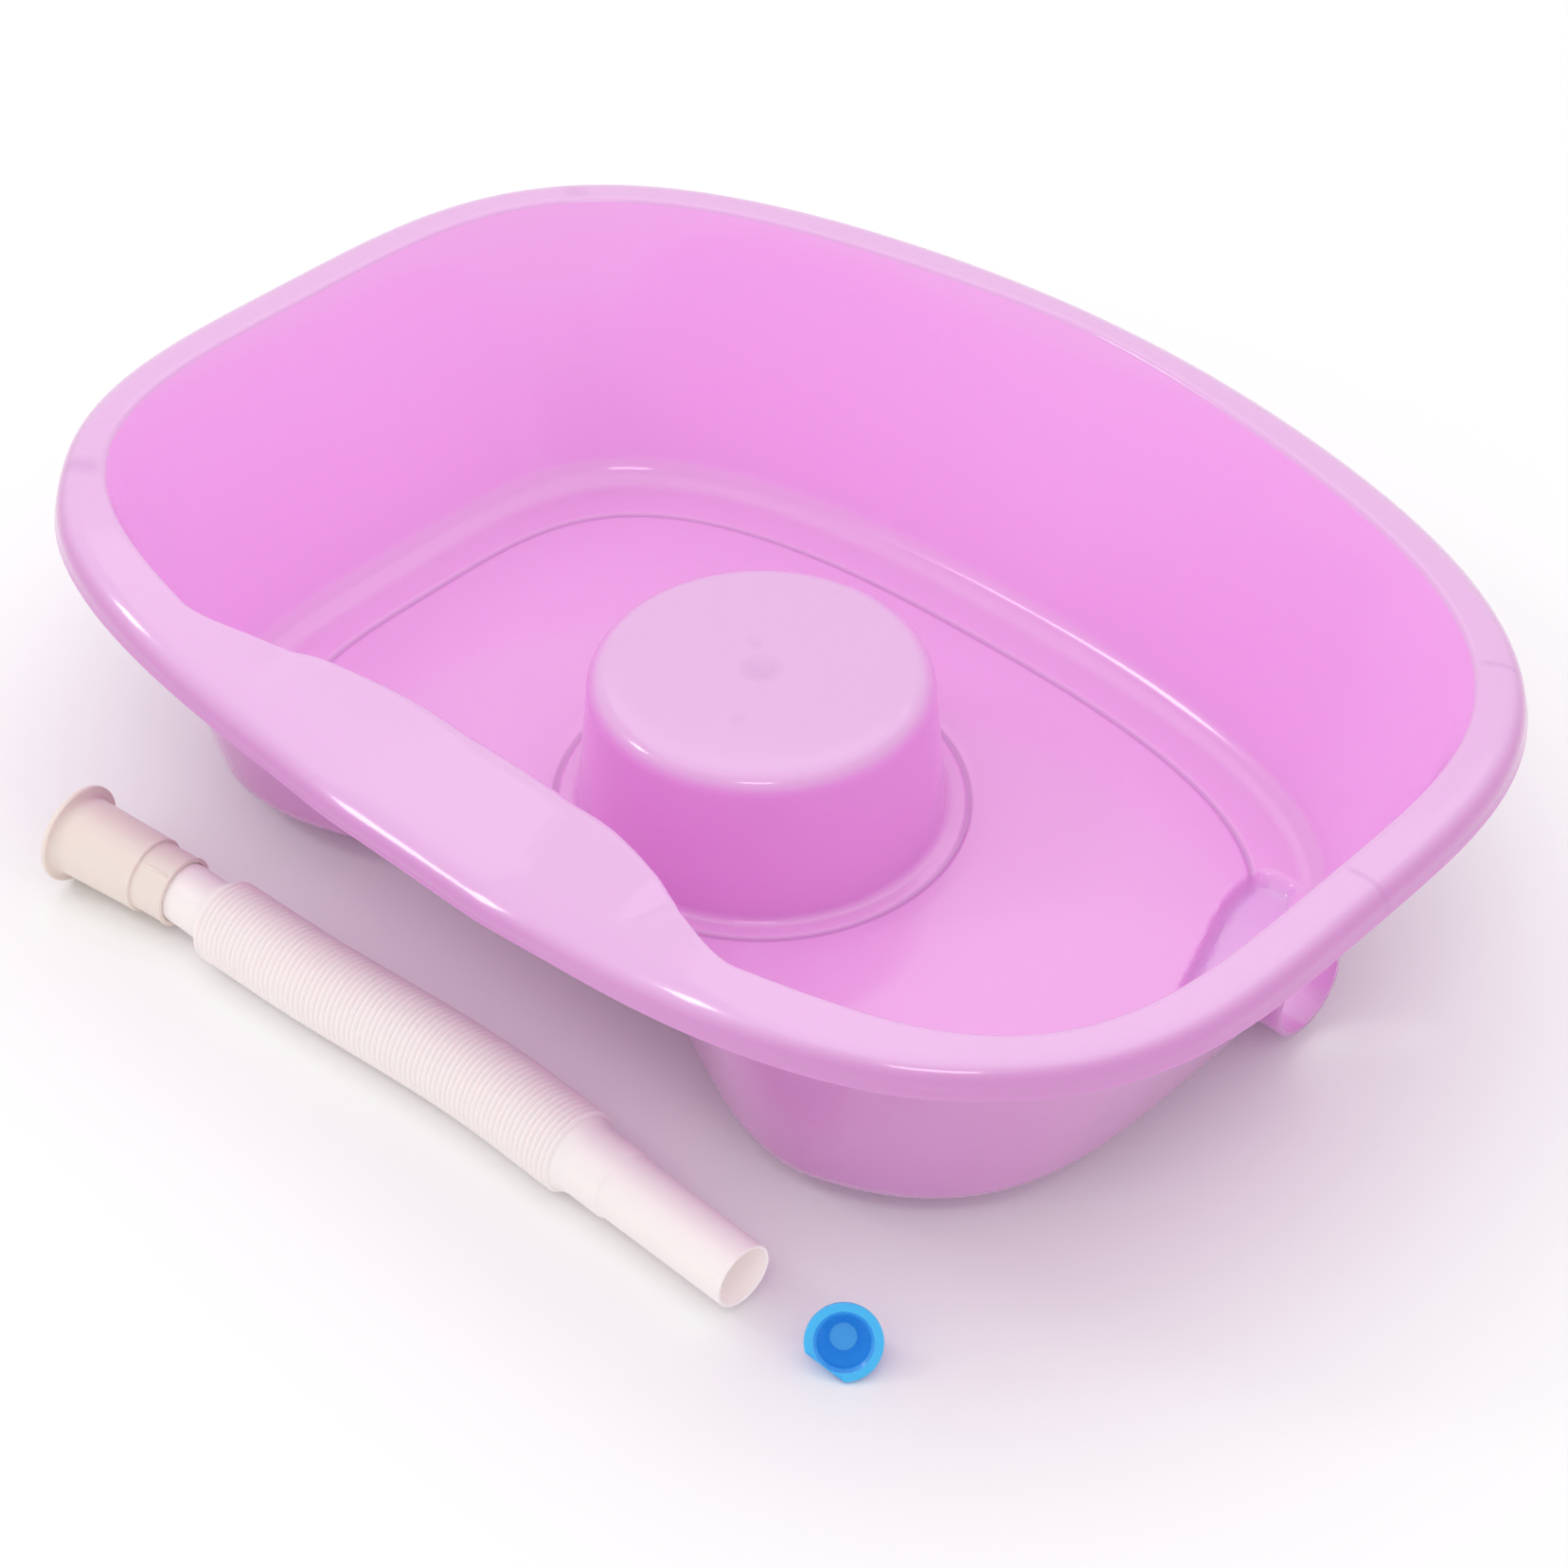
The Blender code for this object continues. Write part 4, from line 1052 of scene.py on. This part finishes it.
def finish_surface(mesh):
    """Presses the grooves in, and marks where each of the bowl's finishes is."""
    normals = [vertex.normal.copy() for vertex in mesh.vertices]
    rows = [finish_shares(vertex.co, normal) for vertex, normal in zip(mesh.vertices, normals)]
    for vertex, row in zip(mesh.vertices, rows):
        vertex.co.z -= GROOVE_DEPTH * row["groove"]
        # The groove's painted shade and roughness spread a little past the pressed groove
        row["groove"] = min(1.0, GROOVE_SPREAD * row["groove"])
    for name in rows[0]:
        layer = mesh.attributes.new(name, "FLOAT", "POINT")
        layer.data.foreach_set("value", [row[name] for row in rows])


def sink_sump(mesh):
    """Lowers the floor's two faces within the sump's edge."""
    for vertex in mesh.vertices:
        if vertex.co.z < FLOOR_HEIGHT + WELD_DISTANCE:
            vertex.co.z -= sump_drop(vertex.co.x, vertex.co.y)


def make_bowl(finish):
    bowl = bowl_sheet(finish)
    wall = bowl.modifiers.new("Wall", "SOLIDIFY")
    wall.thickness = BOWL_WALL
    wall.offset = -1
    edge = bowl.modifiers.new("Edge", "BEVEL")
    edge.width = BOWL_WALL / 5
    edge.segments = 2
    edge.limit_method = "ANGLE"
    edge.angle_limit = math.radians(60)
    apply_modifiers(bowl)
    sink_sump(bowl.data)
    helpers = [
        boolean(bowl, bowl_ribs(finish), "UNION"),
        boolean(bowl, spigot_block(), "UNION"),
        boolean(bowl, bore_cutter(), "DIFFERENCE"),
    ]
    apply_modifiers(bowl, helpers)
    weld(bowl.data)
    finish_surface(bowl.data)
    dress(bowl, bowl_plastic(finish), BOWL_SHARP_DEG)
    return bowl


def coupling_length():
    return COUPLING_FLANGE_THICKNESS + COUPLING_SLEEVE_LENGTH + COUPLING_COLLAR_LENGTH


def coupling_direction():
    """The coupling slopes, so that its flange and the bellows both lie on the ground."""
    drop = COUPLING_FLANGE_RADIUS - BELLOWS_RADIUS
    fall = math.asin(drop / (coupling_length() + NECK_LENGTH / 2))
    turn = math.radians(COUPLING_TURN_DEG)
    level = math.cos(fall)
    return Vector((math.cos(turn) * level, math.sin(turn) * level, -math.sin(fall)))


def level_direction(degrees):
    turn = math.radians(degrees)
    return Vector((math.cos(turn), math.sin(turn), 0))


def coupling_mouth():
    """The middle of the collar's end, where the hose comes out of the coupling."""
    face = Vector((*HOSE_START, COUPLING_FLANGE_RADIUS + GAP))
    return face + coupling_direction() * coupling_length()


def bellows_start():
    return Vector((*BELLOWS_START, BELLOWS_RADIUS + GAP))


def spout_end():
    return Vector((*HOSE_END, BELLOWS_RADIUS + GAP))


def bellows_end():
    back = SPOUT_LENGTH + SPOUT_STEP_LENGTH + OUTLET_CUFF_LENGTH + SHOULDER_LENGTH
    return spout_end() - level_direction(SPOUT_TURN_DEG) * back


def bend(start, leaving, end, arriving, steps):
    """Places along one smooth curve between two straight runs."""
    pull = (end - start).length / 3
    near, far = start + leaving * pull, end - arriving * pull
    points = []
    for step in range(steps + 1):
        share = step / steps
        rest = 1 - share
        ends = start * rest**3 + end * share**3
        points.append(ends + near * 3 * rest**2 * share + far * 3 * rest * share**2)
    return points


def hose_route():
    """The hose's axis: out of the coupling's socket, down on the ground and on to the spout's end."""
    leaving, level = coupling_direction(), level_direction(BELLOWS_TURN_DEG)
    arriving = level_direction(SPOUT_TURN_DEG)
    shoulder = bellows_start() - level * SHOULDER_LENGTH
    first = bellows_start() + level * 2 * BELLOWS_RADIUS
    last = bellows_end() - arriving * 2 * BELLOWS_RADIUS
    return [
        coupling_mouth() - leaving * (COUPLING_SOCKET_LENGTH - GAP),
        *bend(coupling_mouth(), leaving, shoulder, level, NECK_STEPS),
        bellows_start(),
        *bend(first, level, last, arriving, BELLOWS_STEPS),
        bellows_end(),
        spout_end(),
    ]


def lengths_along(points):
    total, lengths = 0.0, [0.0]
    for near, far in zip(points, points[1:]):
        total += (far - near).length
        lengths.append(total)
    return lengths


def along(points, lengths, distance):
    """The place at a distance along a line of points."""
    for near, far, start, end in zip(points, points[1:], lengths, lengths[1:]):
        if distance <= end or far is points[-1]:
            return near + (far - near) * ((distance - start) / (end - start))


def rib_shape(share):
    """How high a rib stands above its valley, from 0 to 1, at a share of its length."""
    return math.sin(math.pi * share) ** 0.8


def run_on(rows, distance, radius, steps, shape=smooth_step):
    """Goes on from a profile's last row to a distance and a radius."""
    start, first = rows[-1]
    for step in range(1, steps + 1):
        share = step / steps
        rows.append((start + (distance - start) * share, first + (radius - first) * shape(share)))


def lip(tip, step, side):
    """A row of the spout's rounded lip, on its outside (1) or its inside (-1)."""
    turn = math.pi / 2 * step / LIP_STEPS
    half = HOSE_WALL / 2
    return tip - half * (1 - math.sin(turn)), SPOUT_TIP_RADIUS - half + side * half * math.cos(turn)


def hose_profile(finish, lengths):
    """Distance along the hose and radius there, for its outside, from the inner cuff to the tip."""
    mouth, start, end, tip = lengths[1], lengths[NECK_STEPS + 2], lengths[-2], lengths[-1]
    valley = BELLOWS_RADIUS - RIB_DEPTH
    rows = [(0, CUFF_RADIUS - HOSE_WALL / 3), (HOSE_WALL / 3, CUFF_RADIUS), (mouth, CUFF_RADIUS)]
    run_on(rows, start - SHOULDER_LENGTH, CUFF_RADIUS, NECK_STEPS)
    run_on(rows, start, valley, SHOULDER_STEPS)
    steps = RIB_COUNT * finish.rings_per_rib
    for step in range(1, steps + 1):
        rib = rib_shape((step / finish.rings_per_rib) % 1)
        rows.append((start + (end - start) * step / steps, valley + RIB_DEPTH * rib))
    run_on(rows, end + SHOULDER_LENGTH, OUTLET_CUFF_RADIUS, SHOULDER_STEPS)
    cuff_end = end + SHOULDER_LENGTH + OUTLET_CUFF_LENGTH
    rows += [(cuff_end - HOSE_WALL, OUTLET_CUFF_RADIUS), (cuff_end, OUTLET_CUFF_RADIUS)]
    run_on(rows, cuff_end + SPOUT_STEP_LENGTH, SPOUT_ROOT_RADIUS, 5)
    run_on(rows, tip - HOSE_WALL / 2, SPOUT_TIP_RADIUS, 10, float)
    return rows + [lip(tip, step, 1) for step in range(1, LIP_STEPS + 1)]


def hose_inside(rows):
    """The hose's inner surface, back from the tip: plain through the bellows."""
    start, tip = rows[0][0], rows[-1][0]
    inner, last = [], None
    for distance, radius in reversed(rows):
        if last is None or last - distance > HOSE_WALL * 2:
            if HOSE_WALL < tip - distance and distance - start > HOSE_WALL:
                inner.append((distance, min(radius, BELLOWS_RADIUS - RIB_DEPTH) - HOSE_WALL))
                last = distance
    lips = [lip(tip, step, -1) for step in reversed(range(LIP_STEPS))]
    return lips + inner + [(start, CUFF_RADIUS - HOSE_WALL)]


def swept(name, route, lengths, rows, inside_from, sides):
    """A closed skin round a line of points, by distances along it and radii there."""
    bm = bmesh.new()
    layer = bm.verts.layers.float.new("inside")
    rings = []
    for index, (distance, radius) in enumerate(rows):
        here = along(route, lengths, distance)
        before = along(route, lengths, max(0.0, distance - 3 * HOSE_WALL))
        after = along(route, lengths, min(lengths[-1], distance + 3 * HOSE_WALL))
        way = (after - before).normalized()
        side = way.cross(Vector((0, 0, 1))).normalized()
        up = side.cross(way)
        ring = []
        for step in range(sides):
            turn = 2 * math.pi * step / sides
            vertex = bm.verts.new(here + (side * math.cos(turn) + up * math.sin(turn)) * radius)
            vertex[layer] = 1.0 if index >= inside_from else 0.0
            ring.append(vertex)
        rings.append(ring)
    skin(bm, rings)
    return new_object(name, bm)


def make_hose(finish):
    route = hose_route()
    lengths = lengths_along(route)
    outside = hose_profile(finish, lengths)
    inside = hose_inside(outside)
    hose = swept("drain_hose", route, lengths, outside + inside, len(outside), finish.sides)
    dress(hose, hose_plastic(finish))
    return hose, route, lengths[-1]


def turned(name, profile, sides, closed=True, attribute=None):
    """A profile of radii and heights turned round Z into a closed skin."""
    bm = bmesh.new()
    layer = bm.verts.layers.float.new(attribute) if attribute else None
    turns = [2 * math.pi * step / sides for step in range(sides)]
    rings = []
    for radius, height, *mark in profile:
        places = [(radius * math.cos(turn), radius * math.sin(turn), height) for turn in turns]
        ring = [bm.verts.new(place) for place in (places if radius else places[:1])]
        if layer:
            for vertex in ring:
                vertex[layer] = mark[0]
        rings.append(ring)
    skin(bm, rings, endless=closed)
    return new_object(name, bm)


def filleted(corners):
    """A closed profile of (radius, height, fillet) corners with its fillets drawn as arcs."""
    places = [Vector(corner[:2]) for corner in corners]
    points = []
    for index, (here, corner) in enumerate(zip(places, corners)):
        before, after = places[index - 1], places[(index + 1) % len(places)]
        points += fillet_points(before, here, after, corner[2], FILLET_STEPS) if corner[2] else [here]
    return [(point.x, point.y) for point in points]


def aim(obj, place, direction):
    """Stands an object on a place with its Z along a direction, and writes that into its mesh."""
    obj.location = place
    obj.rotation_euler = direction.to_track_quat("Z", "Y").to_euler()
    bpy.context.view_layer.update()
    obj.data.transform(obj.matrix_world)
    obj.location = (0, 0, 0)
    obj.rotation_euler = (0, 0, 0)


def bevelled_block(name, size, width):
    bm = bmesh.new()
    bmesh.ops.create_cube(bm, size=1)
    bmesh.ops.scale(bm, vec=size, verts=bm.verts)
    bmesh.ops.bevel(bm, geom=bm.edges[:], offset=width, segments=2, affect="EDGES", profile=0.5)
    return new_object(name, bm)


def stand_round(obj, distance, turn_deg, height):
    """Turns an object round Z, and stands it at a distance that way and at a height."""
    turn = math.radians(turn_deg)
    obj.location = (distance * math.cos(turn), distance * math.sin(turn), height)
    obj.rotation_euler.z = turn


def make_coupling(finish):
    """A flanged sleeve with a raised lip at its end, and a collar with a lip and a small key."""
    socket_radius = CUFF_RADIUS + GAP
    bore_radius = CUFF_RADIUS - HOSE_WALL
    collar_radius = socket_radius + COUPLING_WALL
    sleeve_end = COUPLING_COLLAR_LENGTH + COUPLING_SLEEVE_LENGTH
    fillet = COUPLING_FLANGE_FILLET
    wide_bore = COUPLING_SLEEVE_TIP_RADIUS - COUPLING_WALL
    edge, tip = COUPLING_LIP, COUPLING_SLEEVE_TIP_RADIUS
    profile = filleted([
        (COUPLING_FLANGE_RADIUS, coupling_length(), fillet),
        (COUPLING_FLANGE_RADIUS, sleeve_end, fillet / 2),
        (COUPLING_SLEEVE_ROOT_RADIUS, sleeve_end, fillet * 2),
        (tip - edge / 3, COUPLING_COLLAR_LENGTH + 5 * edge, edge),
        (tip, COUPLING_COLLAR_LENGTH + 4 * edge, edge),
        (tip, COUPLING_COLLAR_LENGTH, 2 * edge),
        (collar_radius - edge, COUPLING_COLLAR_LENGTH, edge),
        (collar_radius - edge, 4 * edge, edge),
        (collar_radius, 3 * edge, edge),
        (collar_radius, 0, 2 * edge),
        (socket_radius, 0, edge),
        (socket_radius, COUPLING_SOCKET_LENGTH, 0),
        (bore_radius, COUPLING_SOCKET_LENGTH, 0),
        (bore_radius, COUPLING_COLLAR_LENGTH, 0),
        (wide_bore, COUPLING_COLLAR_LENGTH + wide_bore - bore_radius, 0),
        (wide_bore, coupling_length(), fillet / 2),
    ])
    coupling = turned("hose_coupling", profile, finish.sides)
    size = (COUPLING_WALL, COUPLING_KEY_WIDTH, COUPLING_SOCKET_LENGTH)
    key = bevelled_block("coupling_key", size, COUPLING_KEY_HEIGHT / 2)
    out = collar_radius - edge + COUPLING_KEY_HEIGHT - COUPLING_WALL / 2
    stand_round(key, out, COUPLING_KEY_TURN_DEG, COUPLING_COLLAR_LENGTH / 2 + edge)
    apply_modifiers(coupling, [boolean(coupling, key, "UNION")])
    dress(coupling, coupling_plastic(finish), COUPLING_SHARP_DEG)
    aim(coupling, coupling_mouth(), -coupling_direction())
    return coupling


def stopper_lean():
    """The angle at which the stopper lies on its flange's edge and, first to touch, its cup or tip."""
    return min(
        math.atan2(STOPPER_FLANGE_RADIUS - STOPPER_CUP_RADIUS, STOPPER_CUP_STRAIGHT),
        math.atan2(STOPPER_FLANGE_RADIUS - STOPPER_TIP_RADIUS, STOPPER_DEPTH - STOPPER_FLANGE_THICKNESS),
    )


def make_stopper(finish):
    """A hollow cup under a flange with one flat side, lying on its side on the ground."""
    straight_end = -STOPPER_FLANGE_THICKNESS - STOPPER_CUP_STRAIGHT
    mouth = STOPPER_CUP_RADIUS - STOPPER_WALL
    edge = STOPPER_WALL / 4
    inner_tip = STOPPER_TIP_RADIUS - STOPPER_WALL / 2
    profile = filleted([
        (0, STOPPER_WALL - STOPPER_DEPTH, 0),
        (inner_tip, STOPPER_WALL - STOPPER_DEPTH, edge),
        (mouth, straight_end, edge),
        (mouth, -STOPPER_WALL, edge),
        (STOPPER_CUP_RADIUS, 0, edge),
        (STOPPER_FLANGE_RADIUS, 0, edge),
        (STOPPER_FLANGE_RADIUS, -STOPPER_FLANGE_THICKNESS, edge),
        (STOPPER_CUP_RADIUS, -STOPPER_FLANGE_THICKNESS, edge / 2),
        (STOPPER_CUP_RADIUS, straight_end, edge),
        (STOPPER_TIP_RADIUS, -STOPPER_DEPTH, edge * 2),
        (0, -STOPPER_DEPTH, 0),
    ])
    marked = []
    for radius, height in profile:
        # Lighter: the cup's inner floor and the flange's face on the cup's open side
        disc = radius < inner_tip and height > -STOPPER_DEPTH + GAP
        flange = height > -edge and radius > STOPPER_CUP_RADIUS
        marked.append((radius, height, 1.0 if disc or flange else 0.0))
    stopper = turned("spout_stopper", marked, finish.sides, closed=False, attribute="lightened_face")
    width = STOPPER_FLANGE_RADIUS - STOPPER_FLAT_DISTANCE + OVERRUN
    size = (width, 2 * STOPPER_FLANGE_RADIUS, STOPPER_FLANGE_THICKNESS + OVERRUN)
    flat = bevelled_block("stopper_flat", size, edge)
    stand_round(flat, STOPPER_FLAT_DISTANCE + width / 2, STOPPER_FLAT_TURN_DEG, 0)
    apply_modifiers(stopper, [boolean(stopper, flat, "DIFFERENCE")])
    dress(stopper, stopper_plastic(finish), STOPPER_SHARP_DEG)
    lean, turn = stopper_lean(), math.radians(STOPPER_TURN_DEG)
    level = math.cos(lean)
    facing = Vector((math.sin(turn) * level, -math.cos(turn) * level, math.sin(lean)))
    rise = STOPPER_FLANGE_RADIUS * level + STOPPER_FLANGE_THICKNESS * math.sin(lean) + GAP
    aim(stopper, (*STOPPER_PLACE, rise), facing)
    return stopper


def add_light(name, place, target, size, power):
    light = bpy.data.lights.new(name, "AREA")
    light.shape = "RECTANGLE"
    light.size, light.size_y = size
    light.energy = power
    made = bpy.data.objects.new(name, light)
    bpy.context.scene.collection.objects.link(made)
    made.location = place
    made.rotation_euler = (Vector(place) - Vector(target)).to_track_quat("Z", "Y").to_euler()


class BASIN_OT_stage(Operator):
    """Sets the camera, the plain floor and the soft studio light."""

    bl_idname = "shampoo_basin.stage"
    bl_label = "Set the Stage"

    def execute(self, context):
        studio = context.scene.basin_studio
        scene = context.scene
        scene.view_settings.view_transform = "Standard"
        camera = bpy.data.objects.new("camera", bpy.data.cameras.new("camera"))
        scene.collection.objects.link(camera)
        camera.data.lens = studio.focal_length
        place, target = Vector(studio.camera_place), Vector(studio.camera_target)
        camera.location = place
        camera.rotation_euler = (place - target).to_track_quat("Z", "Y").to_euler()
        scene.camera = camera
        bm = bmesh.new()
        bmesh.ops.create_grid(bm, x_segments=8, y_segments=8, size=studio.floor_size / 2)
        floor = new_object("studio_floor", bm, plain_floor(studio.floor_color))
        world = bpy.data.worlds.new("studio")
        world.use_nodes = True
        background = world.node_tree.nodes["Background"]
        background.inputs["Strength"].default_value = studio.world_strength
        background.inputs["Color"].default_value = (1, 1, 1, 1)
        scene.world = world
        for name, light in LIGHTS.items():
            add_light(name, *light)
        return {"FINISHED"}


class BASIN_OT_hose(Operator):
    """Adds the ribbed drain hose with the coupling on its inlet end."""

    bl_idname = "shampoo_basin.hose"
    bl_label = "Add the Hose and Coupling"

    def execute(self, context):
        coupling = make_coupling(context.scene.basin_fittings)
        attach(coupling, "coupling")
        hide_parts("drain_coupling")
        hose, route, length = make_hose(context.scene.basin_hose)
        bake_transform(hose)
        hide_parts("hose_inlet_cuff", "hose_bellows", "hose_outlet_spout")
        return {"FINISHED"}


class BASIN_OT_bowl(Operator):
    """Adds the bowl with its rim, neck rest, head rest, sump and drain spigot."""

    bl_idname = "shampoo_basin.bowl"
    bl_label = "Add the Bowl"

    def execute(self, context):
        bowl = make_bowl(context.scene.basin_bowl)
        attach(bowl, "basin")
        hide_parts("basin_shell")
        return {"FINISHED"}


class BASIN_OT_stopper(Operator):
    """Adds the blue stopper beside the hose's spout."""

    bl_idname = "shampoo_basin.stopper"
    bl_label = "Add the Stopper"

    def execute(self, context):
        stopper = make_stopper(context.scene.basin_fittings)
        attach(stopper, "stopper")
        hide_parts("drain_stopper")
        return {"FINISHED"}


class BASIN_PT_panel(Panel):
    """Lists the basin's pieces in the 3D view's sidebar."""

    bl_label = "Shampoo Basin"
    bl_space_type = "VIEW_3D"
    bl_region_type = "UI"
    bl_category = "Basin"

    def draw(self, context):
        for operator in OPERATORS:
            self.layout.operator(operator.bl_idname)
        for name in PROPERTIES:
            group = getattr(context.scene, name)
            for size in group.bl_rna.properties.keys():
                if size not in ("rna_type", "name"):
                    self.layout.prop(group, size)


OPERATORS = (BASIN_OT_stage, BASIN_OT_hose, BASIN_OT_bowl, BASIN_OT_stopper)
PROPERTIES = {
    "basin_studio": StudioSet,
    "basin_hose": HoseFinish,
    "basin_fittings": FittingFinish,
    "basin_bowl": BasinFinish,
}


def register():
    for group in PROPERTIES.values():
        bpy.utils.register_class(group)
    for name, group in PROPERTIES.items():
        setattr(bpy.types.Scene, name, PointerProperty(type=group))
    for panel_or_operator in (*OPERATORS, BASIN_PT_panel):
        bpy.utils.register_class(panel_or_operator)


def unregister():
    for panel_or_operator in (BASIN_PT_panel, *reversed(OPERATORS)):
        bpy.utils.unregister_class(panel_or_operator)
    for name, group in PROPERTIES.items():
        delattr(bpy.types.Scene, name)
        bpy.utils.unregister_class(group)


def main():
    register()
    bpy.ops.shampoo_basin.stage()
    bpy.ops.shampoo_basin.hose()
    bpy.ops.shampoo_basin.bowl()
    bpy.ops.shampoo_basin.stopper()


if __name__ == "__main__":
    main()
